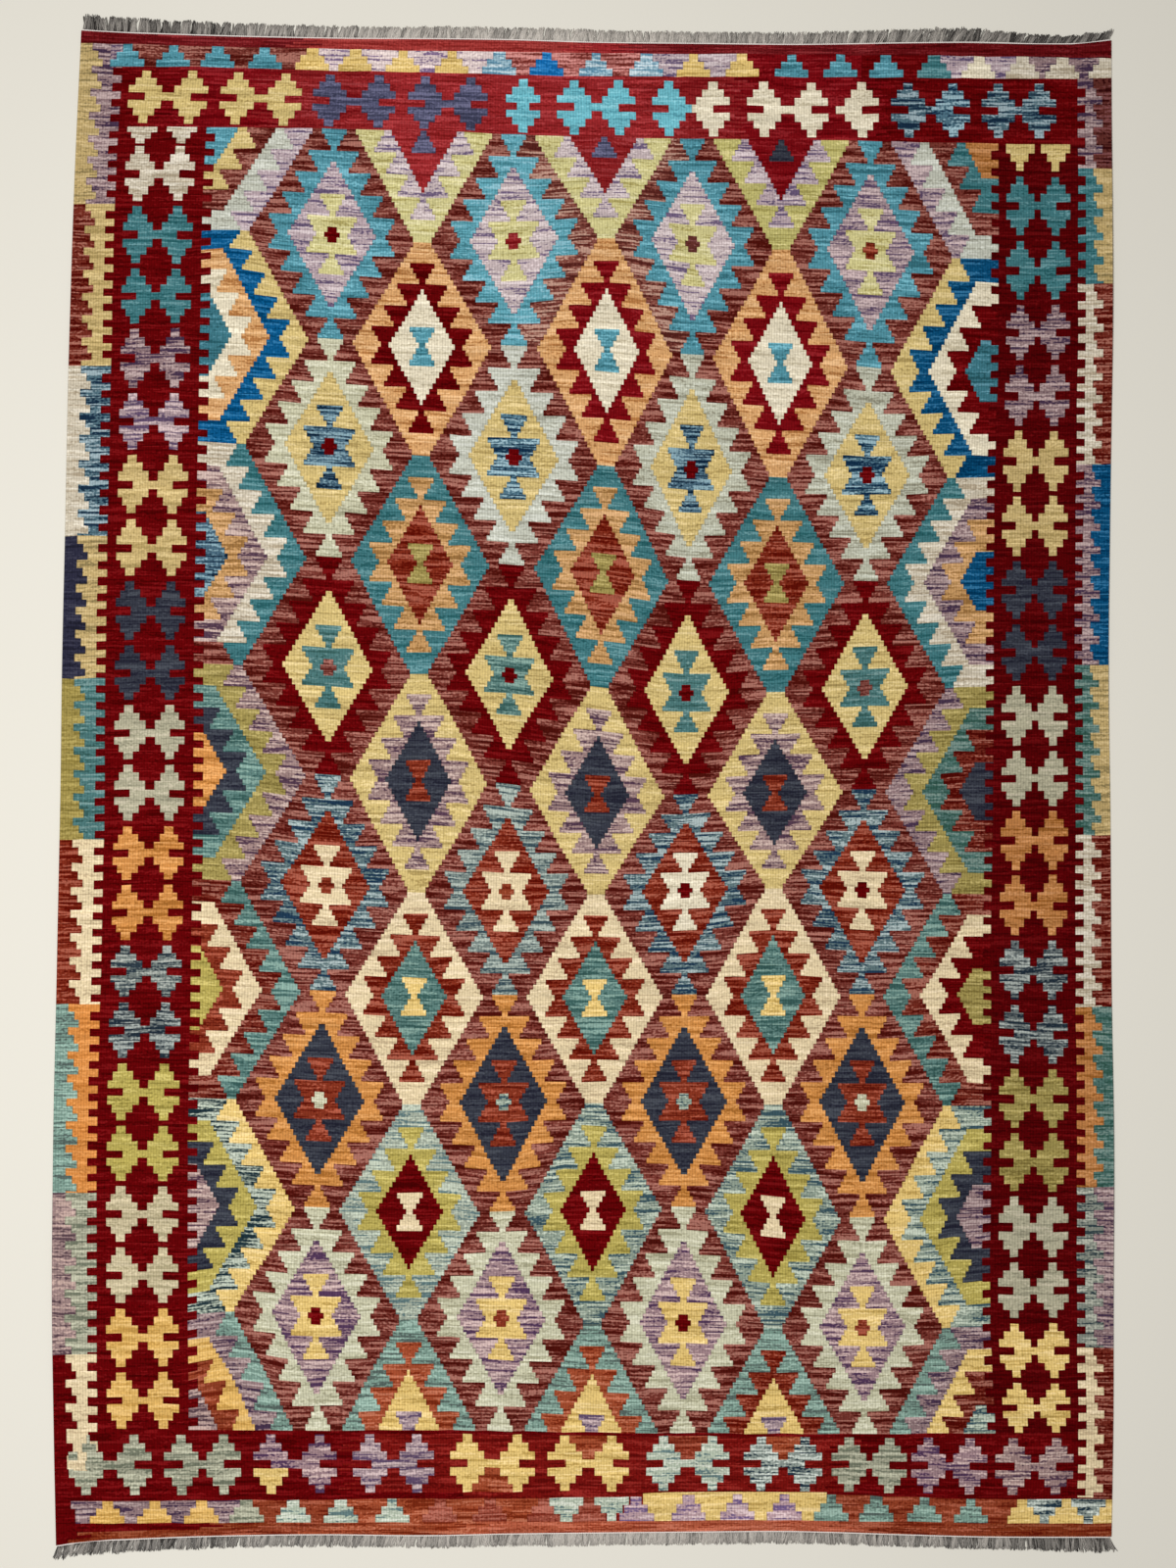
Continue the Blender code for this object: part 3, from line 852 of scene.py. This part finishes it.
def cloth_mesh():
    """Both sides of the cloth and its edges, as one closed mesh that carries its yarns."""
    rectangles = chart_rectangles()
    on_pick = defaultdict(set)
    on_warp = defaultdict(set)
    for patch, top, bottom in rectangles:
        for pick in (top, bottom):
            for warp in (patch.left, patch.right):
                on_pick[pick].add(warp)
                on_warp[warp].add(pick)
    on_pick = {pick: sorted(warps) for pick, warps in on_pick.items()}
    on_warp = {warp: sorted(picks) for warp, picks in on_warp.items()}

    def between(places, low, high):
        return places[bisect.bisect_left(places, low):bisect.bisect_right(places, high)]

    crossings = [(pick, warp) for pick, warps in on_pick.items() for warp in warps]
    number = {crossing: index for index, crossing in enumerate(crossings)}
    picks, warps = np.array(crossings).T
    all_x, all_y = cloth_places()
    x = all_x[picks, warps]
    y = all_y[picks, warps]
    low = lift(x, y)
    shift_x, shift_y = cloth_shift(all_x, all_y)
    count = len(crossings)
    places = np.empty((2 * count, 3))
    places[:count] = np.stack((x + shift_x, y + shift_y, low + PANEL_THICK), axis=1)
    places[count:] = np.stack((x + shift_x, y + shift_y, low), axis=1)

    faces = []
    face_yarns = []
    face_runs = []
    weave_map = []
    sides_map = []

    warp_step = WARP_PITCH * MM
    pick_step = PICK_PITCH * MM

    def add_face(ring, patch, under):
        """A face of the cloth: it knows how far each corner is from its run's two sides."""
        corners = [number[crossing] + count * under for crossing in ring]
        sides = [(warp - patch.run_left, patch.run_right - warp) for pick, warp in ring]
        if under:
            add_corners(corners[::-1], ring[::-1], sides[::-1], patch)
        else:
            add_corners(corners, ring, sides, patch)

    def add_wall(here, there, patch):
        """A face of the cloth's edge, which has no slits."""
        first = number[here]
        second = number[there]
        corners = (first, first + count, second + count, second)
        add_corners(corners, (here, here, there, there), [(UNIT, UNIT)] * 4, patch)

    def add_corners(corners, ring, sides, patch):
        faces.append(corners)
        face_yarns.append(patch.yarn)
        face_runs.append(patch.run_left)
        weave_map.extend((warp * warp_step, -pick * pick_step) for pick, warp in ring)
        sides_map.extend((left * warp_step, right * warp_step) for left, right in sides)

    for patch, top, bottom in rectangles:
        top_row = [(top, warp) for warp in between(on_pick[top], patch.left, patch.right)]
        bottom_row = [(bottom, warp) for warp in between(on_pick[bottom], patch.left, patch.right)]
        left_side = [(pick, patch.left) for pick in between(on_warp[patch.left], top, bottom)]
        right_side = [(pick, patch.right) for pick in between(on_warp[patch.right], top, bottom)]
        ring = bottom_row + right_side[-2:0:-1] + top_row[::-1] + left_side[1:-1]
        add_face(ring, patch, 0)
        add_face(ring, patch, 1)
        for at_edge, side in (
            (top == 0, top_row[::-1]),
            (bottom == PICKS, bottom_row),
            (patch.left == 0, left_side),
            (patch.right == WARPS, right_side[::-1]),
        ):
            if at_edge:
                for here, there in zip(side, side[1:]):
                    add_wall(here, there, patch)

    mesh = bpy.data.meshes.new("kilim_cloth")
    mesh.from_pydata((places * MM).tolist(), [], faces)
    for shade in ("dark", "main", "light"):
        colours = np.array([linear(getattr(yarn, shade)) for yarn in YARNS.values()])
        layer = mesh.attributes.new(f"{shade}_yarn", "FLOAT_COLOR", "FACE")
        layer.data.foreach_set("color", colours[face_yarns].astype(np.float32).ravel())
    holds = np.array([yarn.hold for yarn in YARNS.values()])
    for name, values in (("hold", holds[face_yarns]), ("run", face_runs)):
        layer = mesh.attributes.new(name, "FLOAT", "FACE")
        layer.data.foreach_set("value", np.array(values, dtype=np.float32))
    for name, corners in (("weave", weave_map), ("sides", sides_map)):
        layer = mesh.uv_layers.new(name=name)
        layer.data.foreach_set("uv", np.array(corners, dtype=np.float32).ravel())
    mesh.uv_layers.active = mesh.uv_layers["weave"]
    return mesh


def cloth_shift(all_x, all_y):
    """From the tables' origin to the frame's: it puts the cloth's box on the CAD panel's."""
    low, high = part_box("woven_panel")
    shift_x = (low[0] + high[0]) / 2 / MM - (all_x.min() + all_x.max()) / 2
    shift_y = (low[1] + high[1]) / 2 / MM - (all_y.min() + all_y.max()) / 2
    return shift_x, shift_y


# ---------------------------------------------------------------------------- materials
def linear(hex_colour):
    """An sRGB hex colour as a linear colour with alpha."""
    channels = [int(hex_colour[place:place + 2], 16) / 255 for place in (1, 3, 5)]
    return (*[c / 12.92 if c <= 0.04045 else ((c + 0.055) / 1.055) ** 2.4 for c in channels], 1.0)


def feed(node, inputs):
    """Set or link a node's inputs: each is a value, or a node or socket to link."""
    for name, value in inputs.items():
        socket = node.inputs[name]
        if isinstance(value, bpy.types.Node):
            value = next(output for output in value.outputs if output.enabled)
        if isinstance(value, bpy.types.NodeSocket):
            node.id_data.links.new(value, socket)
        else:
            socket.default_value = value
    return node


def add_node(tree, kind, inputs=None, **settings):
    """Add a node with its settings and inputs."""
    node = tree.nodes.new(kind)
    for name, value in settings.items():
        setattr(node, name, value)
    return feed(node, inputs or {})


def add_maths(tree, operation, first, second=0.0, third=0.0):
    return add_node(tree, "ShaderNodeMath", {0: first, 1: second, 2: third}, operation=operation)


def add_vector(tree, x=0.0, y=0.0, z=0.0):
    return add_node(tree, "ShaderNodeCombineXYZ", {"X": x, "Y": y, "Z": z})


def add_noise(tree, place, scale, detail):
    return add_node(tree, "ShaderNodeTexNoise", {"Vector": place, "Scale": scale, "Detail": detail})


def add_mix(tree, share, first, second):
    """Mix two colours."""
    return add_node(tree, "ShaderNodeMix", {0: share, 6: first, 7: second}, data_type="RGBA")


def on_tree(tree, *adders):
    """Adders that already know their tree."""
    return [partial(adder, tree) for adder in adders]


def new_material(name):
    material = bpy.data.materials.new(name)
    material.use_nodes = True
    return material, material.node_tree.nodes["Principled BSDF"]


# How soon a streak turns to another shade, of the noise's whole range
STREAK_SOFT = 0.04
# How far the grain along a weft stirs the streaks, as in a yarn spun of mixed wool
MARL = 0.2
# The ribs over the warps, drawn coarser than their real pitch so that they still show
RIB_PITCH = 5.2
# How round they are, how much of them is each weft's bead, and how high they look in millimetres
RIB_ROUND = 0.6
BEAD_HIGH = 0.3
BUMP_HIGH = 0.7
# The random patterns' sizes across and down, in millimetres: the wool's grain, streaks as long as
# a batch of one dye, and slow changes of dye. Streaks of single wefts have only a length, and
# make up most of the streaks.
GRAIN_SIZE = (6.0, 3.6)
BATCH_SIZE = (130, 11)
ABRASH_SIZE = (120, 16)
FINE_LONG = 80
FINE_SHARE = 0.75
# Odd steps through the noise, so that wefts, runs of yarn and batches all differ
WEFT_STEP = 0.44
RUN_STEP = 0.37
BATCH_PLACE = 4.7
# How much each pattern and the relief shade a yarn: gain, and what is added to it. The relief's term is
# painted shade, darker in the valleys between ribs and beads
SHADES = {"grain": (0.42, 0.79), "streak": (0.44, 0.78), "abrash": (0.56, 0.69), "rib": (0.32, 0.796)}
# Painted shadow in the slit between two colours: how wide in millimetres, and how dark
SLIT_WIDE = 0.9
SLIT_SHADOW = 0.55


def wool_weave():
    """Hand-spun dyed wool, tapestry woven: matt ribs along the warps, streaky along the wefts."""
    material, shader = new_material("wool_tapestry_weave")
    node, maths, vector, noise, mix = on_tree(
        material.node_tree, add_node, add_maths, add_vector, add_noise, add_mix)

    def attribute(name, output="Color"):
        return node("ShaderNodeAttribute", attribute_name=name).outputs[output]

    def split(uv_map):
        return node("ShaderNodeSeparateXYZ", {0: node("ShaderNodeUVMap", uv_map=uv_map)}).outputs

    def pattern(size, detail, z=0.0):
        """A noise with patches of a size in millimetres."""
        across = maths("DIVIDE", place["X"], size[0] * MM)
        return noise(vector(across, maths("DIVIDE", place["Y"], size[1] * MM), z), 1.0, detail)

    # The relief: a round rib over each warp, with a bead for each weft that crosses it
    place = split("weave")
    warp = maths("DIVIDE", place["X"], RIB_PITCH * MM)
    pick = maths("DIVIDE", place["Y"], PICK_PITCH * MM)
    stagger = maths("MULTIPLY_ADD", maths("FLOOR", warp), 0.5, pick)
    rib = maths("POWER", maths("SINE", maths("MULTIPLY", maths("FRACT", warp), math.pi)), RIB_ROUND)
    bead = maths("ABSOLUTE", maths("SINE", maths("MULTIPLY", stagger, math.pi)))
    height = maths("MULTIPLY", rib, maths("MULTIPLY_ADD", bead, BEAD_HIGH, 1 - BEAD_HIGH))

    # The streaks, from the light to the dark shade of each yarn
    grain = pattern(GRAIN_SIZE, 0.0)
    batch = pattern(BATCH_SIZE, 1.0, BATCH_PLACE)
    along = maths("DIVIDE", place["X"], FINE_LONG * MM)
    weft = maths("MULTIPLY", maths("FLOOR", pick), WEFT_STEP)
    fine = noise(vector(along, weft, maths("MULTIPLY", attribute("run", "Fac"), RUN_STEP)), 1.0, 1.0)
    streak = maths("MULTIPLY_ADD", fine, FINE_SHARE, maths("MULTIPLY", batch, 1 - FINE_SHARE))
    streak = maths("ADD", streak, maths("MULTIPLY_ADD", grain, MARL, -MARL / 2))
    hold = attribute("hold", "Fac")
    light_from = maths("ADD", hold, 0.5)
    dark_from = maths("SUBTRACT", 0.5, hold)
    light_share = node("ShaderNodeMapRange", {
        "Value": streak, "From Min": light_from, "From Max": maths("ADD", light_from, STREAK_SOFT)})
    dark_share = node("ShaderNodeMapRange", {
        "Value": streak, "From Min": dark_from, "From Max": maths("SUBTRACT", dark_from, STREAK_SOFT)})
    yarn = mix(light_share, attribute("main_yarn"), attribute("light_yarn"))
    yarn = mix(dark_share, yarn, attribute("dark_yarn"))

    # What shades the yarns: the random patterns, painted shade in the relief's valleys, and painted shadow
    # in the slits at the sides of each run
    shade = maths("MULTIPLY_ADD", grain, *SHADES["grain"])
    # The rib term paints shade into the colour where the relief is low; the bump gives the real relief
    for name, value in (("streak", streak), ("abrash", pattern(ABRASH_SIZE, 2.0)), ("rib", height)):
        shade = maths("MULTIPLY", shade, maths("MULTIPLY_ADD", value, *SHADES[name]))
    # Painted shadow: the colour is darker near the sides of each run, where the slits open
    sides = split("sides")
    slit_shadow = node("ShaderNodeMapRange", {
        "Value": maths("MINIMUM", sides["X"], sides["Y"]), "From Max": SLIT_WIDE * MM,
        "To Min": SLIT_SHADOW})
    shade = maths("MULTIPLY", shade, slit_shadow)
    feed(shader, {
        "Base Color": node("ShaderNodeVectorMath", {0: yarn, "Scale": shade}, operation="SCALE"),
        "Normal": node("ShaderNodeBump", {"Height": height, "Strength": 0.7, "Distance": BUMP_HIGH * MM}),
        "Roughness": 0.95, "Specular IOR Level": 0.02,
        "Sheen Weight": 0.01, "Sheen Roughness": 0.5, "Sheen Tint": linear("#a8705c")})
    return material


# Fibres' noise per metre, how much it stirs the wool's tone, and the tones from black to pale
COTTON_FINE = 700.0
WOOL_FINE = 420.0
FIBRE_SHARE = 0.35
TONE_SPAN = (0.1, 1.1)


def fibres(tree, scale):
    """A fine noise through the solid, as of spun fibres."""
    return add_noise(tree, add_node(tree, "ShaderNodeTexCoord").outputs["Object"], scale, 2.0)


def twined_cotton():
    """Bleached cotton cord, twined: soft white plies with faint fibre streaks."""
    material, shader = new_material("cotton_twined_cord")
    tree = material.node_tree
    feed(shader, {
        "Base Color": add_mix(tree, fibres(tree, COTTON_FINE), linear("#ede1d9"), linear("#fffaf6")),
        "Roughness": 0.9, "Specular IOR Level": 0.25})
    return material


def warp_wool():
    """Undyed grey wool warp ends, cut and combed out: each strand has its own grey, partly the wool's
    natural tone and partly painted shade, as the darker strands lie low under the paler ones.
    """
    material, shader = new_material("wool_grey_warp_ends")
    tree = material.node_tree
    tone = add_node(tree, "ShaderNodeAttribute", attribute_name="tone").outputs["Fac"]
    mixed = add_maths(tree, "MULTIPLY_ADD", fibres(tree, WOOL_FINE), FIBRE_SHARE, tone)
    share = add_node(tree, "ShaderNodeMapRange", {
        "Value": mixed, "From Min": TONE_SPAN[0], "From Max": TONE_SPAN[1]})
    feed(shader, {
        "Base Color": add_mix(tree, share, linear("#26211e"), linear("#cdc6bd")),
        "Roughness": 0.92, "Specular IOR Level": 0.2, "Sheen Weight": 0.15})
    return material


# ---------------------------------------------------------------------------- the ends
# The twined cord: its plies' radius and distance from its middle, its height and the length of one
# twist, in millimetres. Its line, and the fringe's, stop a little inside the selvedges.
PLY_RADIUS = 0.72
PLY_OFFSET = 0.6
PLY_SIDES = 6
CORD_LIFT = 1.9
TWINE_PITCH = 7.0
TWINE_STEPS = 7.0
LINE_POINTS = 240
LINE_ENDS = (0.002, 0.998)

# The fringe's strands, drawn thicker than a real fibre so that they show, the tufts they lie in,
# and how much more than the part's locks they lean
STRANDS = 6000
STRAND_RADIUS = 0.8
STRAND_POINTS = 5
STRAND_SIDES = 3
STRAND_TAPER = -0.3
TUFT_PITCH = 6.4
ROOT_HIGH = 1.7
LEAN_MORE = {"far": 2.0, "near": 1.35}
SEEDS = {"far": 3, "near": 8}
# Their chances: roots off the line in millimetres, turns in radians, lengths and tones as shares
ROOT_ASIDE = (-1.2, 1.2)
ROOT_LIFT = (-0.2, 0.6)
TUFT_TURN = 0.44
STRAND_TURN = (-0.16, 0.16)
TUFT_LONGER = 0.14
STRAND_LONG = (0.76, 0.96)
TUFT_TONE = 0.55
STRAND_TONE = (-0.5, 0.2)
# How far a strand's tip curls to its side and lengthwise, how high a pale one arches over dark ones, which
# lie low as painted shade in the fringe's gaps, and how far its tip drops, in millimetres
CURL = (14, 4)
CURL_SCALE = 130.0
ARCH_HIGH = 1.6
TIP_DROP = 0.5

# How pale the warp ends are on the way across, from near black to pale grey
PALENESS = table(
    "across far near",
    (0.00, -0.06, 0.02), (0.15, 0.05, 0.06), (0.30, 0.43, 0.28), (0.45, 0.58, 0.48), (0.60, 0.48, 0.56),
    (0.75, 0.30, 0.36), (0.88, 0.00, 0.14), (1.00, -0.12, -0.02),
)


def add_object(name, data):
    """A new object in the scene."""
    thing = bpy.data.objects.new(name, data)
    bpy.context.collection.objects.link(thing)
    return thing


def line_object(name, points, attributes):
    """A chain of edges through points in metres, with a float attribute for each table."""
    mesh = bpy.data.meshes.new(name)
    mesh.from_pydata(points, [(index, index + 1) for index in range(len(points) - 1)], [])
    for key, values in attributes.items():
        layer = mesh.attributes.new(key, "FLOAT", "POINT")
        layer.data.foreach_set("value", np.array(values, dtype=np.float32))
    return add_object(name, mesh)


def new_tree(name, inputs):
    """A geometry tree, what it is given (a geometry and the named inputs), and its result."""
    tree = bpy.data.node_groups.new(name, "GeometryNodeTree")
    tree.interface.new_socket("Geometry", in_out="OUTPUT", socket_type="NodeSocketGeometry")
    for label, kind in {"Geometry": "Geometry", **inputs}.items():
        tree.interface.new_socket(label, in_out="INPUT", socket_type=f"NodeSocket{kind}")
    return tree, tree.nodes.new("NodeGroupInput").outputs, tree.nodes.new("NodeGroupOutput")


def add_solid(tree, curves, sides, radius, scale=1.0):
    """A closed tube with so many sides along each of the curves."""
    profile = add_node(tree, "GeometryNodeCurvePrimitiveCircle", {"Resolution": sides, "Radius": radius})
    return add_node(tree, "GeometryNodeCurveToMesh", {
        "Curve": curves, "Profile Curve": profile, "Scale": scale, "Fill Caps": True})


def end_tree(tree, solid, given, result):
    """The tree's result: its solid smooth, real and with the material that it is given."""
    smooth = add_node(tree, "GeometryNodeSetShadeSmooth", {"Geometry": solid})
    real = add_node(tree, "GeometryNodeRealizeInstances", {"Geometry": smooth})
    feed(result, {0: add_node(tree, "GeometryNodeSetMaterial", {
        "Geometry": real, "Material": given["Material"]})})


def grow(thing, tree, values):
    """Run a tree on an object with its inputs set, and keep the result as a plain mesh."""
    modifier = thing.modifiers.new(tree.name, "NODES")
    modifier.node_group = tree
    for item in tree.interface.items_tree:
        if item.item_type == "SOCKET" and item.in_out == "INPUT" and item.name in values:
            modifier[item.identifier] = values[item.name]
    depsgraph = bpy.context.evaluated_depsgraph_get()
    mesh = bpy.data.meshes.new_from_object(thing.evaluated_get(depsgraph))
    thing.modifiers.remove(modifier)
    thing.data = mesh


def cord_tree():
    """Two plies that wind about the line they are given."""
    tree, given, result = new_tree("twined_cord", {
        "Ply Radius": "Float", "Ply Offset": "Float", "Pitch": "Float", "Material": "Material"})
    node, maths, vector, solid = on_tree(tree, add_node, add_maths, add_vector, add_solid)
    line = node("GeometryNodeMeshToCurve", {"Mesh": given["Geometry"]})
    step = maths("DIVIDE", given["Pitch"], TWINE_STEPS)
    fine = node("GeometryNodeResampleCurve", {"Curve": line, "Length": step}, mode="LENGTH")
    along = node("GeometryNodeSplineParameter").outputs["Length"]
    turn = maths("MULTIPLY", maths("DIVIDE", along, given["Pitch"]), math.tau)
    plies = node("GeometryNodeJoinGeometry")
    for phase in (0.0, math.pi):
        angle = maths("ADD", turn, phase)
        offset = vector(
            y=maths("MULTIPLY", maths("COSINE", angle), given["Ply Offset"]),
            z=maths("MULTIPLY", maths("SINE", angle), given["Ply Offset"]))
        wound = node("GeometryNodeSetPosition", {"Geometry": fine, "Offset": offset})
        feed(plies, {0: solid(wound, PLY_SIDES, given["Ply Radius"])})
    end_tree(tree, plies, given, result)
    return tree


def fringe_tree():
    """Strands that stand along a line of roots and fall outwards, tuft by tuft."""
    tree, given, result = new_tree("cut_fringe", {
        "Strands": "Int", "Strand Radius": "Float", "Tuft Pitch": "Float", "Turn": "Float", "Seed": "Int",
        "Material": "Material"})
    node, maths, vector, noise = on_tree(tree, add_node, add_maths, add_vector, add_noise)

    def chance(span, salt, size=1.0):
        """A random value within a span for each strand."""
        return node("FunctionNodeRandomValue", {
            2: span[0] * size, 3: span[1] * size, "Seed": maths("ADD", given["Seed"], salt)},
            data_type="FLOAT")

    def tuft_chance(salt):
        """A random share that all strands of a tuft have."""
        return node("ShaderNodeTexWhiteNoise", {"W": maths("ADD", tuft, salt)}, noise_dimensions="1D")

    def named(label):
        return node("GeometryNodeInputNamedAttribute", {"Name": label}, data_type="FLOAT")

    def store(geometry, label, value):
        return node("GeometryNodeStoreNamedAttribute", {
            "Geometry": geometry, "Name": label, "Value": value}, data_type="FLOAT", domain="POINT")

    def move(geometry, offset):
        return node("GeometryNodeSetPosition", {"Geometry": geometry, "Offset": offset})

    # The roots, and each strand's length, angle and tone
    line = node("GeometryNodeMeshToCurve", {"Mesh": given["Geometry"]})
    roots = node("GeometryNodeResampleCurve", {"Curve": line, "Count": given["Strands"]})
    roots = move(roots, vector(x=chance(ROOT_ASIDE, 1, MM), z=chance(ROOT_LIFT, 2, MM)))
    place = node("ShaderNodeSeparateXYZ", {0: node("GeometryNodeInputPosition")})
    tuft = maths("FLOOR", maths("DIVIDE", place.outputs["X"], given["Tuft Pitch"]))
    reach = named("reach")
    length = maths("MULTIPLY", reach, maths(
        "MULTIPLY_ADD", tuft_chance(0.37), TUFT_LONGER, chance(STRAND_LONG, 3)))
    angle = maths("ARCTAN2", maths("MULTIPLY", named("lean"), -1.0), reach)
    angle = maths("ADD", angle, maths("MULTIPLY_ADD", tuft_chance(0.0), TUFT_TURN, -TUFT_TURN / 2))
    angle = maths("ADD", angle, chance(STRAND_TURN, 4))
    angle = maths("ADD", angle, given["Turn"])
    tone = maths("MULTIPLY_ADD", tuft_chance(0.71), TUFT_TONE, chance(STRAND_TONE, 5))
    roots = store(roots, "tone", maths("ADD", tone, named("pale")))

    # One straight strand, set on every root
    strand = node("GeometryNodeCurvePrimitiveLine", {"End": (0.0, 1.0, 0.0)})
    strand = node("GeometryNodeResampleCurve", {"Curve": strand, "Count": STRAND_POINTS})
    strand = store(strand, "from_root", node("GeometryNodeSplineParameter").outputs["Factor"])
    strands = node("GeometryNodeInstanceOnPoints", {
        "Points": roots, "Instance": strand, "Rotation": vector(z=angle), "Scale": length})
    strands = node("GeometryNodeRealizeInstances", {"Geometry": strands})

    # Curl, arch and taper towards the tip
    far = named("from_root")
    curl = noise(node("GeometryNodeInputPosition"), CURL_SCALE, 1.0).outputs["Color"]
    bend = node("ShaderNodeVectorMath", {0: curl, 1: (0.5, 0.5, 0.5)}, operation="SUBTRACT")
    bend = node("ShaderNodeSeparateXYZ", {0: bend}).outputs
    fall = maths("MULTIPLY", far, far)
    strands = move(strands, vector(
        maths("MULTIPLY", maths("MULTIPLY", bend["X"], CURL[0] * MM), fall),
        maths("MULTIPLY", maths("MULTIPLY", bend["Y"], CURL[1] * MM), fall)))
    arch = maths("SINE", maths("MULTIPLY", far, math.pi))
    # Paler strands arch higher, so the darker ones lie beneath them as painted shade between the strands
    pile = maths("MULTIPLY", maths("MULTIPLY", named("tone"), ARCH_HIGH * MM), arch)
    strands = move(strands, vector(z=maths("SUBTRACT", pile, maths("MULTIPLY", far, TIP_DROP * MM))))
    thin = maths("MULTIPLY_ADD", far, STRAND_TAPER, 1.0)
    strands = node("GeometryNodeSetCurveRadius", {"Curve": strands, "Radius": thin})
    end_tree(tree, add_solid(tree, strands, STRAND_SIDES, given["Strand Radius"], thin), given, result)
    return tree


def end_line(end, outward, off, height, shift):
    """Points off the cloth's end, some way out and up, from left to right in metres."""
    shares = np.linspace(*LINE_ENDS, LINE_POINTS)
    y = line_up(ENDS, "across", end, shares)
    left = line_up(SELVEDGES, "along", "left", y)
    right = line_up(SELVEDGES, "along", "right", y)
    x = left + (right - left) * shares + shift[0]
    y = y + shift[1] + outward * off
    points = np.stack((x, y, np.full_like(x, height)), axis=1) * MM
    return shares, points.tolist()


def make_ends(shift, cotton, wool):
    """The twined cord and the fringe at each end."""
    cords = []
    fringes = []
    winding = cord_tree()
    growing = fringe_tree()
    for end, outward in (("far", 1.0), ("near", -1.0)):
        shares, points = end_line(end, outward, PIECE_GAP + CORD_WIDE / 2, CORD_LIFT, shift)
        cord = line_object(f"{end}_twined_cord", points, {})
        grow(cord, winding, {
            "Ply Radius": PLY_RADIUS * MM, "Ply Offset": PLY_OFFSET * MM, "Pitch": TWINE_PITCH * MM,
            "Material": cotton})
        cords.append(cord)
        shares, points = end_line(end, outward, PIECE_GAP + CORD_WIDE, ROOT_HIGH, shift)
        fringe = line_object(f"{end}_cut_fringe", points, {
            "reach": line_up(FRINGE, "across", end, shares) * MM,
            "lean": line_up(FRINGE, "across", end + "_lean", shares) * LEAN_MORE[end] * MM * outward,
            "pale": line_up(PALENESS, "across", end, shares)})
        grow(fringe, growing, {
            "Strands": STRANDS, "Strand Radius": STRAND_RADIUS * MM, "Tuft Pitch": TUFT_PITCH * MM,
            "Turn": 0.0 if outward > 0 else math.pi, "Seed": SEEDS[end], "Material": wool})
        fringes.append(fringe)
    return cords, fringes


# ---------------------------------------------------------------------------- floor, light, camera
FLOOR_HALF = 9.0
CORNERS = ((-1, -1), (1, -1), (1, 1), (-1, 1))
LIGHTS = table(
    "name place size power",
    ("far_light", (-1.02, 0.96, 4.5), 1.4, 101.0), ("near_light", (-1.27, -1.48, 4.5), 1.4, 102.0),
)


def make_floor():
    """A plain pale matt floor, which throws soft light back onto the rug's edges."""
    mesh = bpy.data.meshes.new("floor")
    corners = [(across * FLOOR_HALF, along * FLOOR_HALF, 0) for across, along in CORNERS]
    mesh.from_pydata(corners, [], [(0, 1, 2, 3)])
    material, shader = new_material("matt_painted_floor")
    feed(shader, {"Base Color": linear("#e4e0d5"), "Roughness": 0.9, "Specular IOR Level": 0.2})
    mesh.materials.append(material)
    add_object("floor", mesh)


def make_light():
    """A faint even sky and two square soft lights that face the middle of the rug."""
    world = bpy.data.worlds.new("studio")
    world.use_nodes = True
    feed(world.node_tree.nodes["Background"], {"Color": linear("#f4f2ee"), "Strength": 0.28})
    bpy.context.scene.world = world
    bpy.context.scene.view_settings.view_transform = "Standard"
    for row in LIGHTS:
        light = bpy.data.lights.new(row.name, "AREA")
        light.size = row.size
        light.energy = row.power
        lamp = add_object(row.name, light)
        lamp.location = row.place
        lamp.rotation_euler = (-Vector(row.place)).to_track_quat("-Z", "Y").to_euler()


def make_camera(shift):
    """Straight above the rug, so that the photograph's frame has its real size on the cloth."""
    tall = PHOTO_TALL_PX * MM_PER_PX * MM
    x = ((PHOTO_WIDE_PX / 2 - ORIGIN_PX[0]) * MM_PER_PX + shift[0]) * MM
    y = ((ORIGIN_PX[1] - PHOTO_TALL_PX / 2) * MM_PER_PX + shift[1]) * MM
    camera = bpy.data.cameras.new("camera")
    camera.lens = LENS_MM
    camera.sensor_width = SENSOR_MM
    camera.sensor_fit = "AUTO"
    thing = add_object("camera", camera)
    thing.location = (x, y, tall * LENS_MM / SENSOR_MM + PANEL_THICK * MM)
    bpy.context.scene.camera = thing


def main():
    shift = cloth_shift(*cloth_places())
    make_camera(shift)
    make_floor()
    make_light()
    draw_chart()
    cloth = add_object("kilim_cloth", cloth_mesh())
    cloth.data.materials.append(wool_weave())
    cords, fringes = make_ends(shift, twined_cotton(), warp_wool())
    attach(cloth, BODY)
    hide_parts("woven_panel")
    for cord, fringe, node in zip(cords, fringes, ("far_fringe", "near_fringe")):
        for piece, slot in ((cord, "twined_cotton"), (fringe, "warp_wool")):
            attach(piece, BODY)
            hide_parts(node)


main()
